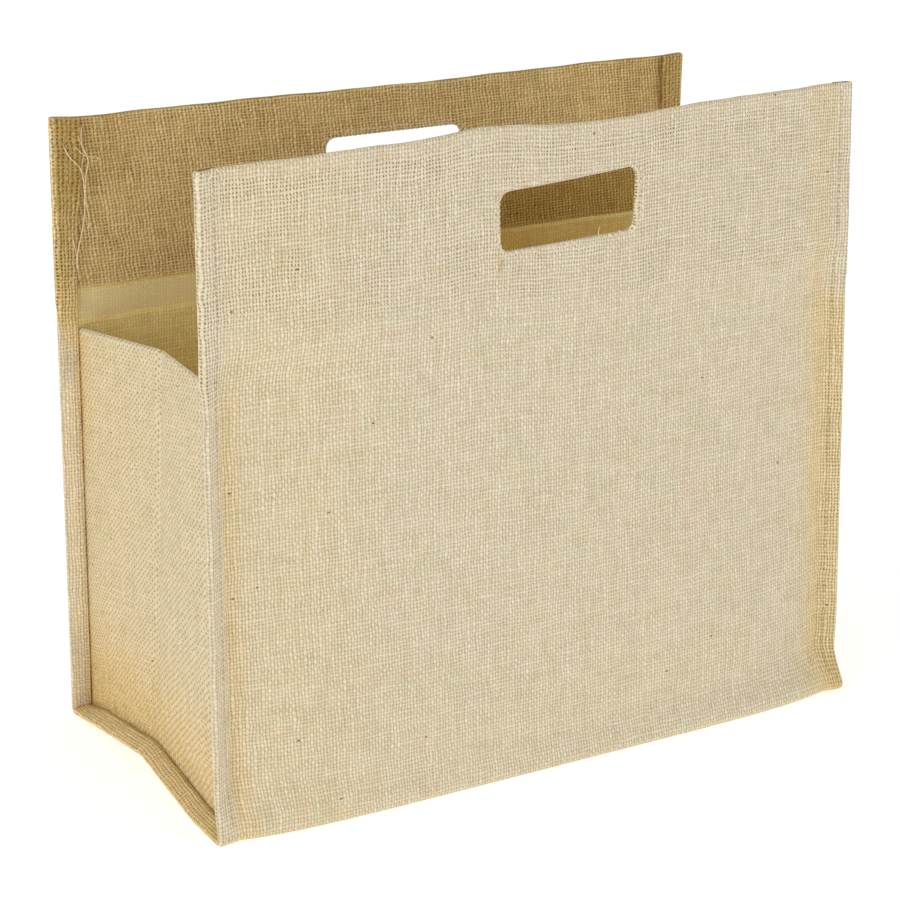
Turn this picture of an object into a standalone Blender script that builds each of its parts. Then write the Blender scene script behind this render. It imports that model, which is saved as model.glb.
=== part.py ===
"""Laminated jute shopping bag, standing open: one folded body strip and two side gussets.

The body is a single strip of cloth. It runs down the front, under the base and up the back, its two
ends are folded inside as deep facings, and its two long edges are folded over as hems. Below the
gusset tops each hem grips the edge of a gusset, which makes a flange all round the gusset; above
them the same fold is the side hem of the panel. Metres, +Z up, X across, Y from front to back.
"""
import math

import bmesh
import bpy
from mathutils import Vector

# ---------------------------------------------------------------- driving dimensions
WIDTH = 0.420            # from flange edge to flange edge
DEPTH = 0.204            # from front to back at the flange edges
FRONT_HEIGHT = 0.368     # front panel at its corners
BACK_HEIGHT = 0.362      # back panel at its corners
CLOTH = 0.0010           # jute with its film
LAYER_GAP = 0.0005       # air between two layers that lie on each other
FOLD_RADIUS = 0.007      # of the bottom folds, at the middle of the cloth

FLANGE = 0.0135          # width of the flange, from the seam to its edge
HEM_EDGE = 0.0020        # from the seam line to the raw edge of the hem
HEM_FLARE = 0.0045       # the back hem is this much wider at the top corners
FACING_DEPTH = 0.097     # top facing, turned inside
GUSSET_FRONT_TOP = 0.2500
GUSSET_MIDDLE_TOP = 0.2460
GUSSET_BACK_TOP = 0.2390
GUSSET_HEM = 0.026       # top hem of a gusset, turned inside

FRONT_LEAN = math.radians(33)   # turn of each flange away from its panel
TOP_LEAN = math.radians(6)      # the front's side hems lie nearly flat above the gussets
BASE_LEAN = math.radians(24)
BACK_LEAN = math.radians(8)
CORNER_LEAN = math.radians(8)   # the flanges lie flatter where they turn the bottom corners
CORNER_RUN = 0.037              # and reach their full lean this far from the corner
LEAN_START = 0.070              # down the front, the flange turns away from here
LEAN_RUN = 0.040                # over this length

FRONT_SWELL = 0.0115     # the front's middle stands forward of the flange edges by this much
BACK_SWELL = 0.0121      # the same for the back, at the base; it dies out upwards
BACK_FADE = 1.3          # how fast the back's swell dies out
FOOT_FLATNESS = 6.0      # how sharply a panel turns in at its seams, by the base
FRONT_FLATNESS = 2.0     # the same up the front
BACK_FLATNESS = 3.0      # the same up the back
FLATNESS_RUN = 0.150     # height at which the upper value is reached
BASE_FLATNESS = 12.0     # the same across the base
LEFT_FORWARD = 0.006     # the front's left edge leans forward at the top
RIGHT_BACK = 0.010       # its right edge stands back from a short way up
RIGHT_BACK_RUN = 0.100   # reached at this height
RIGHT_LEAN = 0.006       # and leans back further at the top
BACK_FORWARD = 0.016     # the back panel leans forward at the top

RIDGE_LIFT = 0.0125      # the base's old middle fold stands up at the two ends
RIDGE_PULL = 0.0024      # and draws the ends in
RIDGE_START = 0.070      # the base is flat between these
FRONT_RIDGE_RUN = 0.070  # how far the ridge runs forward of the middle
GUSSET_TOP_FOLD = 0.0135 # how far the gusset's middle fold goes in at the top
GUSSET_END_GAP = 0.0005  # between the gusset's edge and the inside of the flange fold
GUSSET_GRIP = 0.0012     # the flange holds the gusset flat from this far outside the seam
GUSSET_SEAM = 0.0004     # the gusset turns up from this far outside it

HOLE_RADIUS = 0.006      # corners of the hand holes
HOLE_DROP_BACK = 0.0085  # the back hand hole is this much lower than the front one
CUTTER_REACH = 0.040     # hole cutters reach this far in and out from the panels' plane

STACK_STEP = 0.2515      # height at which the hem starts to step up over the facing
STACK_RUN = 0.005        # height of that step
LEG_START = 0.070        # even rows up the legs start at this height
BASE_MARGIN = 0.060      # even rows along the base start this far from its ends
SLOPE_STEP = 0.0004      # step for the slopes of the middle surface

# ---------------------------------------------------------------- worked out from them
LAYER = CLOTH + LAYER_GAP
HALF_WIDTH = WIDTH / 2
HALF_DEPTH = DEPTH / 2 - CLOTH / 2
SEAM_U = HALF_WIDTH - CLOTH / 2 - FLANGE
FLANGE_STACK = 2 * LAYER         # cloth, gusset, hem
FACED_STACK = 3 * LAYER          # cloth, facing, facing's hem, hem
GUSSET_TURN_DEPTH = 1.6 * LAYER   # where the gusset leaves the flange
FRONT_LENGTH = FRONT_HEIGHT - CLOTH / 2 - LAYER / 2 - FOLD_RADIUS
BACK_LENGTH = BACK_HEIGHT - CLOTH / 2 - LAYER / 2 - FOLD_RADIUS
TURN_LENGTH = math.pi / 2 * FOLD_RADIUS
BASE_LENGTH = 2 * (HALF_DEPTH - FOLD_RADIUS)
FRONT_END = FRONT_LENGTH
FRONT_TURN_END = FRONT_END + TURN_LENGTH
BASE_END = FRONT_TURN_END + BASE_LENGTH
BACK_TURN_END = BASE_END + TURN_LENGTH
STRIP_END = BACK_TURN_END + BACK_LENGTH

# The panels' top edges rise and sag in smooth humps: height, middle, half width
FRONT_TOP_HUMPS = (
    (0.0045, -0.042, 0.040),
    (0.0025, 0.105, 0.050),
)
BACK_TOP_HUMPS = (
    (-0.0012, 0.020, 0.080),
)

# The hand holes' outline at the front, as seen from the front: corner, x, z
HOLE_CORNERS = (
    ("bottom_left", -0.0390, 0.3040),
    ("bottom_right", 0.0505, 0.3055),
    ("top_right", 0.0525, 0.3418),
    ("top_left", -0.0390, 0.3370),
)

PANEL_SHARES = (0.24, 0.48, 0.70, 0.87, 0.96, 1.0)         # columns from the middle to a seam
CORNER_STEPS = (0.007, 0.014, 0.022, 0.032)                # rows near a bottom corner

# name, base colour, roughness
FINISHES = (
    ("body", (0.62, 0.52, 0.36, 1.0), 0.90),
    ("gusset_left", (0.66, 0.53, 0.33, 1.0), 0.90),
    ("gusset_right", (0.66, 0.53, 0.33, 1.0), 0.90),
)


def smooth_step(value):
    """0 below 0, 1 above 1, with a smooth rise between."""
    value = min(max(value, 0.0), 1.0)
    return value * value * (3 - 2 * value)


def mix(a, b, share):
    """The value at a share of the way from a to b."""
    return a + (b - a) * share


# ---------------------------------------------------------------- the body's middle surface
def flange_lean(v):
    """Angle of the flange to its panel at a place along the strip."""
    front_corner = FRONT_END + TURN_LENGTH / 2
    back_corner = BASE_END + TURN_LENGTH / 2
    front = mix(TOP_LEAN, FRONT_LEAN, smooth_step((v - LEAN_START) / LEAN_RUN))
    lean = front if v < front_corner else BASE_LEAN if v < back_corner else BACK_LEAN
    away = min(abs(v - front_corner), abs(v - back_corner)) - TURN_LENGTH / 2
    return mix(CORNER_LEAN, lean, smooth_step(away / CORNER_RUN))


def across(u, v):
    """Distance from the middle, and how far the cloth stands in from the flange edge's plane."""
    lean = flange_lean(v)
    seam_x = HALF_WIDTH - CLOTH / 2 - FLANGE * math.cos(lean) - FACED_STACK / 2 * math.sin(lean)
    if abs(u) <= SEAM_U:
        return u * seam_x / SEAM_U, FLANGE * math.sin(lean)
    past = abs(u) - SEAM_U
    x = seam_x + past * math.cos(lean)
    return math.copysign(x, u), (FLANGE - past) * math.sin(lean)


def panel_swell(u, flatness):
    """0 at the seams and on the flanges, 1 in the middle."""
    share = min(abs(u) / SEAM_U, 1.0)
    return 1 - share ** flatness


def front_out(u, z, v):
    """How far the front stands forward of its flange edges' plane."""
    inset = across(u, v)[1]
    height = z / FRONT_HEIGHT
    left = LEFT_FORWARD * height
    right = -RIGHT_BACK * smooth_step(z / RIGHT_BACK_RUN) - RIGHT_LEAN * height
    edge = mix(left, right, (u / SEAM_U + 1) / 2)
    swell = panel_swell(u, mix(FOOT_FLATNESS, FRONT_FLATNESS, smooth_step(z / FLATNESS_RUN)))
    return edge + mix(-inset, FRONT_SWELL, swell)


def back_out(u, z, v):
    """How far the back stands behind its flange edges' plane."""
    inset = across(u, v)[1]
    height = z / BACK_HEIGHT
    swell = panel_swell(u, mix(FOOT_FLATNESS, BACK_FLATNESS, smooth_step(z / FLATNESS_RUN)))
    return -BACK_FORWARD * height + mix(-inset, BACK_SWELL * max(0.0, 1 - height) ** BACK_FADE, swell)


def ridge(u, y):
    """The base's old middle fold, 1 at its crest above the two ends."""
    end = smooth_step((abs(u) - RIDGE_START) / (SEAM_U - RIDGE_START))
    run = HALF_DEPTH if y > 0 else FRONT_RIDGE_RUN
    return end * max(0.0, 1 - abs(y) / run)


def base_height(u, y, v):
    """Height of the base's middle surface."""
    inset = across(u, v)[1]
    return CLOTH / 2 + inset * (1 - panel_swell(u, BASE_FLATNESS)) + RIDGE_LIFT * ridge(u, y)


def top_edge(u, height, humps):
    """Height of the middle surface at a panel's top edge."""
    rise = sum(amount * math.exp(-((u - middle) / spread) ** 2) for amount, middle, spread in humps)
    return height + rise - LAYER / 2 - CLOTH / 2


def surface(u, v):
    """Middle surface of the strip: u across it, v along it from the front's top edge."""
    x, _ = across(u, v)
    low = FOLD_RADIUS + CLOTH / 2
    if v <= FRONT_END:
        z = mix(low, top_edge(u, FRONT_HEIGHT, FRONT_TOP_HUMPS), (FRONT_END - v) / FRONT_LENGTH)
        return Vector((x, -HALF_DEPTH - front_out(u, z, v), z))
    if v >= BACK_TURN_END:
        z = mix(low, top_edge(u, BACK_HEIGHT, BACK_TOP_HUMPS), (v - BACK_TURN_END) / BACK_LENGTH)
        return Vector((x, HALF_DEPTH + back_out(u, z, v), z))
    front_y = -HALF_DEPTH + FOLD_RADIUS - front_out(u, low, FRONT_END)
    back_y = HALF_DEPTH - FOLD_RADIUS + back_out(u, low, BACK_TURN_END)
    if v <= FRONT_TURN_END:
        angle = (v - FRONT_END) / FOLD_RADIUS
        rise = (base_height(u, front_y, v) - CLOTH / 2) * math.sin(angle)
        y = front_y - FOLD_RADIUS * math.cos(angle)
        return Vector((x, y, low - FOLD_RADIUS * math.sin(angle) + rise))
    if v >= BASE_END:
        angle = (BACK_TURN_END - v) / FOLD_RADIUS
        rise = (base_height(u, back_y, v) - CLOTH / 2) * math.sin(angle)
        y = back_y + FOLD_RADIUS * math.cos(angle)
        return Vector((x, y, low - FOLD_RADIUS * math.sin(angle) + rise))
    y = mix(front_y, back_y, (v - FRONT_TURN_END) / BASE_LENGTH)
    pull = RIDGE_PULL * ridge(u, y)
    return Vector((x - math.copysign(pull, u), y, base_height(u, y, v)))


def place(u, v, inward):
    """A point of a layer that lies a given distance inside the strip's middle surface."""
    along_u = surface(u + SLOPE_STEP, v) - surface(u - SLOPE_STEP, v)
    along_v = surface(u, v + SLOPE_STEP) - surface(u, v - SLOPE_STEP)
    return surface(u, v) + along_u.cross(along_v).normalized() * inward


# ---------------------------------------------------------------- stations along and across
def spread(start, end, count):
    """count + 1 even steps from start to end."""
    return [mix(start, end, i / count) for i in range(count + 1)]


def strip_height(v):
    """Height along the front or back leg, for the layers that lie on it."""
    if v <= FRONT_END:
        return FOLD_RADIUS + FRONT_END - v
    if v >= BACK_TURN_END:
        return FOLD_RADIUS + v - BACK_TURN_END
    return 0.0


def hem_stack(v):
    """Distance from the cloth to its hem: room for the gusset, or for the facing and its hem."""
    height = strip_height(v)
    return mix(FLANGE_STACK, FACED_STACK, smooth_step((height - STACK_STEP) / STACK_RUN))


def seam_stations():
    """Stations v where a gusset is held: down the front flange, under the base, up the back flange."""
    rise = [0.0, *CORNER_STEPS, *spread(LEG_START, GUSSET_FRONT_TOP - FOLD_RADIUS, 3)]
    climb = [0.0, *CORNER_STEPS, *spread(LEG_START, GUSSET_BACK_TOP - FOLD_RADIUS, 3)]
    front = [FRONT_END - height for height in reversed(rise)]
    base = [FRONT_TURN_END, *[FRONT_TURN_END + step for step in CORNER_STEPS]]
    base += spread(FRONT_TURN_END + BASE_MARGIN, BASE_END - BASE_MARGIN, 2)
    base += [*[BASE_END - step for step in reversed(CORNER_STEPS)], BASE_END]
    back = [BACK_TURN_END + height for height in climb]
    front_turn = spread(FRONT_END, FRONT_TURN_END, 4)[1:-1]
    back_turn = spread(BASE_END, BACK_TURN_END, 4)[1:-1]
    return front + front_turn + base + back_turn + back


def lengthwise_stations():
    """(v, facing offset) along the whole strip, from the front facing's raw edge to the back one's."""
    turn = LAYER / 2
    angles = spread(0.0, math.pi, 4)[1:-1]
    front_faced = spread(0.0, FACING_DEPTH, 4)
    back_faced = spread(STRIP_END - FACING_DEPTH, STRIP_END, 4)
    front_facing = [(v, LAYER) for v in reversed(front_faced)]
    front_fold = [(-turn * math.sin(a), turn + turn * math.cos(a)) for a in angles]
    single = [(v, 0.0) for v in front_faced + seam_stations() + back_faced]
    back_fold = [(STRIP_END + turn * math.sin(a), turn - turn * math.cos(a)) for a in angles]
    back_facing = [(v, LAYER) for v in reversed(back_faced)]
    return front_facing + front_fold + single + back_fold + back_facing


def hem_edge(v):
    """The hem's raw edge, measured across the strip from its middle."""
    flare = HEM_FLARE * smooth_step((v - STRIP_END + FACING_DEPTH) / FACING_DEPTH)
    return SEAM_U + HEM_EDGE - flare


def crosswise_stations():
    """(kind, side, share) across the strip, from the left hem's raw edge to the right one's."""
    hem = [("hem", share) for share in (0.0, 1.0)]
    fold = [("fold", share) for share in (0.75, 0.5, 0.25)]
    flange = [("flange", share) for share in (1.0, 0.5)]
    side = hem + fold + flange
    left = [(kind, -1, share) for kind, share in side]
    right = [(kind, 1, share) for kind, share in reversed(side)]
    panel = [("panel", 1, -share) for share in reversed(PANEL_SHARES)]
    panel += [("panel", 1, share) for share in (0.0,) + PANEL_SHARES]
    return left + panel + right


def strip_point(kind, side, share, v, facing):
    """One point of the folded strip; facing is how far this layer lies inside the outer one."""
    stack = hem_stack(v)
    turn = stack / 2 - facing
    tip_u = SEAM_U + FLANGE - FACED_STACK / 2
    if kind == "panel":
        return place(share * SEAM_U, v, facing)
    if kind == "flange":
        return place(side * mix(SEAM_U, tip_u, share), v, facing)
    if kind == "fold":
        angle = math.pi * share
        return place(side * (tip_u + turn * math.sin(angle)), v, stack / 2 - turn * math.cos(angle))
    return place(side * mix(hem_edge(v), tip_u, share), v, stack - facing)


# ---------------------------------------------------------------- meshes
def sheet_object(name, rows, collection):
    """A cloth from rows of points: a one-sided grid that Solidify thickens about its middle."""
    mesh = bpy.data.meshes.new(name)
    grid = bmesh.new()
    lines = [[grid.verts.new(point) for point in row] for row in rows]
    for upper, lower in zip(lines, lines[1:]):
        for i in range(len(upper) - 1):
            grid.faces.new((upper[i], lower[i], lower[i + 1], upper[i + 1]))
    grid.to_mesh(mesh)
    grid.free()
    piece = bpy.data.objects.new(name, mesh)
    collection.objects.link(piece)
    wall = piece.modifiers.new("cloth", "SOLIDIFY")
    wall.thickness = CLOTH
    wall.offset = 0.0
    wall.use_even_offset = True
    wall.thickness_clamp = 0.0
    mesh.shade_smooth()
    mesh.set_sharp_from_angle(angle=math.radians(40))
    return piece


def rounded_outline(corners, radius, steps=4):
    """A closed outline with each corner turned on an arc."""
    points = []
    count = len(corners)
    for i, corner in enumerate(corners):
        here = Vector(corner)
        back = (Vector(corners[i - 1]) - here).normalized()
        ahead = (Vector(corners[(i + 1) % count]) - here).normalized()
        half = back.angle(ahead) / 2
        middle = here + (back + ahead).normalized() * radius / math.sin(half)
        start = (here + back * radius / math.tan(half) - middle).normalized()
        end = (here + ahead * radius / math.tan(half) - middle).normalized()
        points += [middle + start.slerp(end, k / steps) * radius for k in range(steps + 1)]
    return points


def hole_cutter(name, front_y, back_y, drop, level_top, collection):
    """A block with the hand hole's outline that reaches from front_y to back_y."""
    corners = []
    for corner, x, z in HOLE_CORNERS:
        if level_top and corner == "top_left":
            z = HOLE_CORNERS[2][2]
        corners.append((x, 0.0, z - drop))
    outline = rounded_outline(corners, HOLE_RADIUS)
    mesh = bpy.data.meshes.new(name)
    plate = bmesh.new()
    plate.faces.new([plate.verts.new((p.x, (front_y + back_y) / 2, p.z)) for p in outline])
    plate.to_mesh(mesh)
    plate.free()
    cutter = bpy.data.objects.new(name, mesh)
    cutter.hide_render = True
    cutter.display_type = "WIRE"
    collection.objects.link(cutter)
    block = cutter.modifiers.new("block", "SOLIDIFY")
    block.thickness = back_y - front_y
    block.offset = 0.0
    return cutter


def cut(piece, cutter):
    """Cut a hand hole through every layer that the cutter meets."""
    modifier = piece.modifiers.new(cutter.name, "BOOLEAN")
    modifier.operation = "DIFFERENCE"
    modifier.solver = "EXACT"
    modifier.object = cutter


def build_body(parts, cutters):
    """Front, base and back in one strip, with its facings, hems and hand holes."""
    crosswise = crosswise_stations()
    rows = []
    for v, facing in lengthwise_stations():
        rows.append([strip_point(kind, side, share, v, facing) for kind, side, share in crosswise])
    body = sheet_object("body", rows, parts)
    reach = HALF_DEPTH + CUTTER_REACH
    depth = HALF_DEPTH - CUTTER_REACH
    cut(body, hole_cutter("front_hole", -reach, -depth, 0.0, False, cutters))
    cut(body, hole_cutter("back_hole", depth, reach, HOLE_DROP_BACK, True, cutters))
    return body


# ---------------------------------------------------------------- gussets
def shares_along(line):
    """Share of a line's length up to each of its points."""
    lengths = [0.0]
    for here, ahead in zip(line, line[1:]):
        lengths.append(lengths[-1] + (ahead - here).length)
    return [length / lengths[-1] for length in lengths]


def patch(left, right, bottom, top):
    """Rows of points on the patch spanned between four border lines, from the bottom up."""
    across_shares = shares_along(bottom)
    rows = []
    for j, t in enumerate(shares_along(left)):
        row = []
        for i, s in enumerate(across_shares):
            sides = left[j].lerp(right[j], s)
            ends = bottom[i].lerp(top[i], t)
            corners = left[0].lerp(right[0], s).lerp(left[-1].lerp(right[-1], s), t)
            row.append(sides + ends - corners)
        rows.append(row)
    return rows


def build_gusset(name, side, collection):
    """A gusset panel with its middle fold, its flange allowance and its top hem."""
    stations = seam_stations()
    allowance = []
    for reach in (FLANGE - FACED_STACK / 2 - GUSSET_END_GAP, GUSSET_GRIP):
        allowance.append([place(side * (SEAM_U + reach), v, LAYER) for v in stations])
    border = [place(side * (SEAM_U + GUSSET_SEAM), v, GUSSET_TURN_DEPTH) for v in stations]

    rows_up = stations.index(FRONT_END) + 2     # the leg and half the turn
    left = border[rows_up::-1]
    right = border[-rows_up - 1:]
    bottom = border[rows_up:-rows_up]
    count = len(bottom) - 1
    middle = Vector((side * (abs(left[-1].x) - GUSSET_TOP_FOLD), 0.0, GUSSET_MIDDLE_TOP))
    top = []
    for share in shares_along(bottom):
        toward = 2 * share
        top.append(left[-1].lerp(middle, toward) if toward <= 1 else middle.lerp(right[-1], toward - 1))
    panel = patch(left, right, bottom, top)

    mesh = bpy.data.meshes.new(name)
    cloth = bmesh.new()
    field = [[cloth.verts.new(point) for point in row] for row in panel]
    front_side = [field[j][0] for j in range(rows_up, 0, -1)]
    back_side = [field[j][-1] for j in range(1, rows_up + 1)]
    ring = front_side + field[0] + back_side
    inner = [cloth.verts.new(point) for point in allowance[1]]
    outer = [cloth.verts.new(point) for point in allowance[0]]
    # the top hem, turned inside the bag
    turn = LAYER / 2
    hem_rows = [field[-1][1:-1]]
    for drop, inward in ((-turn, turn), (0.0, LAYER), (GUSSET_HEM / 2, LAYER), (GUSSET_HEM, LAYER)):
        row = []
        for i in range(1, count):
            down = (panel[-2][i] - panel[-1][i]).normalized() * drop
            row.append(cloth.verts.new(panel[-1][i] + down + Vector((-side * inward, 0.0, 0.0))))
        hem_rows.append(row)
    strips = [outer, inner, ring]
    for lines in (field, strips, hem_rows):
        for upper, lower in zip(lines, lines[1:]):
            for i in range(len(upper) - 1):
                cloth.faces.new((upper[i], upper[i + 1], lower[i + 1], lower[i]))
    bmesh.ops.recalc_face_normals(cloth, faces=cloth.faces)
    cloth.to_mesh(mesh)
    cloth.free()
    piece = bpy.data.objects.new(name, mesh)
    collection.objects.link(piece)
    wall = piece.modifiers.new("cloth", "SOLIDIFY")
    wall.thickness = CLOTH
    wall.offset = 0.0
    wall.use_even_offset = True
    mesh.shade_smooth()
    mesh.set_sharp_from_angle(angle=math.radians(40))
    return piece


# ---------------------------------------------------------------- the model
def give_finish(piece, colour, roughness):
    """One plain material for a piece."""
    material = bpy.data.materials.new(piece.name)
    material.use_nodes = True
    shader = material.node_tree.nodes["Principled BSDF"]
    shader.inputs["Base Color"].default_value = colour
    shader.inputs["Roughness"].default_value = roughness
    shader.inputs["Metallic"].default_value = 0.0
    piece.data.materials.append(material)


def new_collection(name):
    """An empty collection in the scene."""
    collection = bpy.data.collections.new(name)
    bpy.context.scene.collection.children.link(collection)
    return collection


def main():
    """Build the three pieces of cloth in an empty scene."""
    for old in list(bpy.data.objects):
        bpy.data.objects.remove(old)
    parts = new_collection("laminated_jute_bag")
    cutters = new_collection("cutters")
    pieces = {
        "body": build_body(parts, cutters),
        "gusset_left": build_gusset("gusset_left", -1, parts),
        "gusset_right": build_gusset("gusset_right", 1, parts),
    }
    for name, colour, roughness in FINISHES:
        give_finish(pieces[name], colour, roughness)


main()
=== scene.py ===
"""Laminated jute shopping bag, standing open on a pale floor.

The body is one strip of cloth: front, base and back, with deep facings turned inside at its two
ends and hems folded over along its two long edges. Each hem grips the edge of a gusset, which makes
a flange all round the gusset; above the gusset the same fold is the side hem of the panel.
Metres, +Z up, X across the bag, Y from the front to the back.
"""
import logging
import math
from dataclasses import dataclass, field
from enum import Enum
from typing import NamedTuple, Union

import bmesh
import bpy
import numpy as np
from mathutils import Matrix, Vector


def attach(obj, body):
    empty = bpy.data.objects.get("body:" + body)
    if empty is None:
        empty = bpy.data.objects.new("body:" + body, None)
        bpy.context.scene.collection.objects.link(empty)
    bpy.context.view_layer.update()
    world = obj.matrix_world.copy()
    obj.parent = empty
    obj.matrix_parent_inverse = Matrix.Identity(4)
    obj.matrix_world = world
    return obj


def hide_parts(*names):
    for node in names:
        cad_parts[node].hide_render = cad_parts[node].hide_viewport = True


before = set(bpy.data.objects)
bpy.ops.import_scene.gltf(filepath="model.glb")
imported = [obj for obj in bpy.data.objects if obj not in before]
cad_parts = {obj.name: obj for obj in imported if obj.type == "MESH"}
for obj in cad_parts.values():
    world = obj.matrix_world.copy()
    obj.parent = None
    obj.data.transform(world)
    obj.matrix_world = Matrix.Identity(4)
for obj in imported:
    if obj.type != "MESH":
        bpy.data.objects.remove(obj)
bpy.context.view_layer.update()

LOG = logging.getLogger("jute_bag")
MM = 0.001

Amount = Union[float, np.ndarray]
Socket = bpy.types.NodeSocket
Value = Union[Socket, float, tuple]


def smooth_step(value: np.ndarray) -> np.ndarray:
    """0 below 0 and 1 above 1, with a smooth rise between."""
    value = np.clip(value, 0.0, 1.0)
    return value * value * (3.0 - 2.0 * value)


def mix(low: Amount, high: Amount, share: Amount) -> Amount:
    """The value that lies at a share of the way from low to high."""
    return low + (high - low) * share


def hump(value: np.ndarray, middle: float, width: float) -> np.ndarray:
    """1 at the middle, falling off smoothly over the width on both sides."""
    return np.exp(-(((value - middle) / width) ** 2))


def spread(start: float, end: float, count: int) -> list[float]:
    """count + 1 even steps from start to end."""
    return list(np.linspace(start, end, count + 1))


def unit(vectors: np.ndarray) -> np.ndarray:
    """The vectors at length 1."""
    return vectors / np.maximum(np.linalg.norm(vectors, axis=-1, keepdims=True), 1e-12)


# ------------------------------------------------------------------------------ shape of the cloth
@dataclass(frozen=True)
class BagShape:
    """The folded shape of the bag, in the body strip's own coordinates.

    u runs across the strip from its middle, v along it from the front's top edge.
    """

    width: float = 0.4225
    depth: float = 0.2065
    front_height: float = 0.368
    back_height: float = 0.362
    cloth: float = 1.0 * MM
    layer: float = 1.5 * MM
    fold_radius: float = 4.5 * MM
    flange: float = 13.5 * MM
    hem_edge: float = 2.0 * MM
    hem_flare: float = 4.5 * MM
    facing_depth: float = 0.097
    front_lean: float = math.radians(33)
    top_lean: float = math.radians(6)
    lean_start: float = 0.084
    lean_run: float = 0.036
    base_lean: float = math.radians(24)
    back_lean: float = math.radians(8)
    corner_lean: float = math.radians(4)
    corner_run: float = 0.030
    stack_step: float = 0.2515
    stack_run: float = 0.005
    flare_run: float = 0.10
    front_swell: float = 0.0095
    foot_swell: float = 0.0052
    back_swell: float = 0.0121
    back_fade: float = 1.3
    foot_flatness: float = 6.0
    front_flatness: float = 2.0
    back_flatness: float = 3.0
    base_flatness: float = 12.0
    flatness_run: float = 0.15
    left_forward: float = 0.006
    right_back: float = 0.0075
    right_lean: float = 0.0075
    foot_run: float = 0.026
    foot_forward: float = 0.0035
    right_foot_forward: float = 0.0048
    right_pinch: float = 0.0034
    pinch_run: float = 0.024
    back_forward: float = 0.016
    ridge_lift: float = 0.0114
    ridge_pull: float = 0.0008
    ridge_start: float = 0.070
    front_ridge_run: float = 0.070

    @property
    def half_depth(self) -> float:
        """From the middle to the flange edges' plane."""
        return self.depth / 2 - self.cloth / 2

    @property
    def seam_u(self) -> float:
        """Where the panel ends and the flange begins."""
        return self.width / 2 - self.cloth / 2 - self.flange

    @property
    def tip_u(self) -> float:
        """Where the flange starts to fold over."""
        return self.seam_u + self.flange - 1.5 * self.layer

    @property
    def low(self) -> float:
        """Height at which a leg turns into the base."""
        return self.fold_radius + self.cloth / 2

    @property
    def front_end(self) -> float:
        """Length of the front from its top edge to its bottom turn."""
        return self.front_height - self.cloth / 2 - self.layer / 2 - self.fold_radius

    @property
    def back_length(self) -> float:
        """Length of the back from its bottom turn to its top edge."""
        return self.back_height - self.cloth / 2 - self.layer / 2 - self.fold_radius

    @property
    def turn_length(self) -> float:
        """Length of cloth in one bottom turn."""
        return math.pi / 2 * self.fold_radius

    @property
    def front_turn_end(self) -> float:
        """Where the base begins."""
        return self.front_end + self.turn_length

    @property
    def base_end(self) -> float:
        """Where the base ends."""
        return self.front_turn_end + 2 * (self.half_depth - self.fold_radius)

    @property
    def back_turn_end(self) -> float:
        """Where the back begins."""
        return self.base_end + self.turn_length

    @property
    def strip_end(self) -> float:
        """The back's top edge."""
        return self.back_turn_end + self.back_length

    def flange_lean(self, v: np.ndarray) -> np.ndarray:
        """Angle of the flange to its panel.

        Args:
            v: distances along the strip from the front's top edge.

        Returns:
            The angles, in radians.
        """
        front_corner = self.front_end + self.turn_length / 2
        back_corner = self.base_end + self.turn_length / 2
        front = mix(self.top_lean, self.front_lean, smooth_step((v - self.lean_start) / self.lean_run))
        beyond = np.where(v < back_corner, self.base_lean, self.back_lean)
        lean = np.where(v < front_corner, front, beyond)
        away = np.minimum(abs(v - front_corner), abs(v - back_corner)) - self.turn_length / 2
        return mix(self.corner_lean, lean, smooth_step(away / self.corner_run))

    def across(self, u: np.ndarray, v: np.ndarray) -> tuple[np.ndarray, np.ndarray]:
        """Distance from the middle, and how far the cloth stands in from the flange edges' plane.

        Args:
            u: distances across the strip from its middle.
            v: distances along the strip from the front's top edge.

        Returns:
            The X of each place, and its inset.
        """
        lean = self.flange_lean(v)
        seam_x = self.width / 2 - self.cloth / 2 - self.flange * np.cos(lean)
        seam_x = seam_x - 1.5 * self.layer * np.sin(lean)
        past = np.maximum(abs(u) - self.seam_u, 0.0)
        x = np.minimum(abs(u), self.seam_u) * seam_x / self.seam_u + past * np.cos(lean)
        corner = hump(v, self.front_end + self.turn_length / 2, self.pinch_run)
        x = x - self.right_pinch * corner * smooth_step(u / self.seam_u)
        return np.copysign(x, u), (self.flange - past) * np.sin(lean)

    def swell(self, u: np.ndarray, flatness: np.ndarray) -> np.ndarray:
        """0 at the seams and on the flanges, 1 in the middle."""
        return 1 - np.minimum(abs(u) / self.seam_u, 1.0) ** flatness

    def flatness(self, upper: float, z: np.ndarray) -> np.ndarray:
        """How sharply a panel turns in at its seams, which changes up the panel."""
        return mix(self.foot_flatness, upper, smooth_step(z / self.flatness_run))

    def waving(self, u: np.ndarray, z: np.ndarray) -> np.ndarray:
        """Where small waves may show: 0 at the seams and by the base, 1 elsewhere."""
        return self.swell(u, 8) * smooth_step(z / 0.05)

    def front_out(self, u: np.ndarray, z: np.ndarray, v: np.ndarray) -> np.ndarray:
        """How far the front stands forward of its flange edges' plane.

        Args:
            u: distances across the strip from its middle.
            z: heights above the floor.
            v: distances along the strip from the front's top edge.

        Returns:
            The distances, forward being positive.
        """
        inset = self.across(u, v)[1]
        height = z / self.front_height
        above = smooth_step(z / self.foot_run)
        left = self.left_forward * height + self.foot_forward * (1 - above)
        right = mix(self.right_foot_forward, -self.right_back, above) - self.right_lean * height
        edge = mix(left, right, (u / self.seam_u + 1) / 2)
        swell = self.swell(u, self.flatness(self.front_flatness, z))
        middle = mix(self.foot_swell, self.front_swell, above)
        return edge + mix(-inset, middle, swell) + self.front_creases(u, z)

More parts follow.
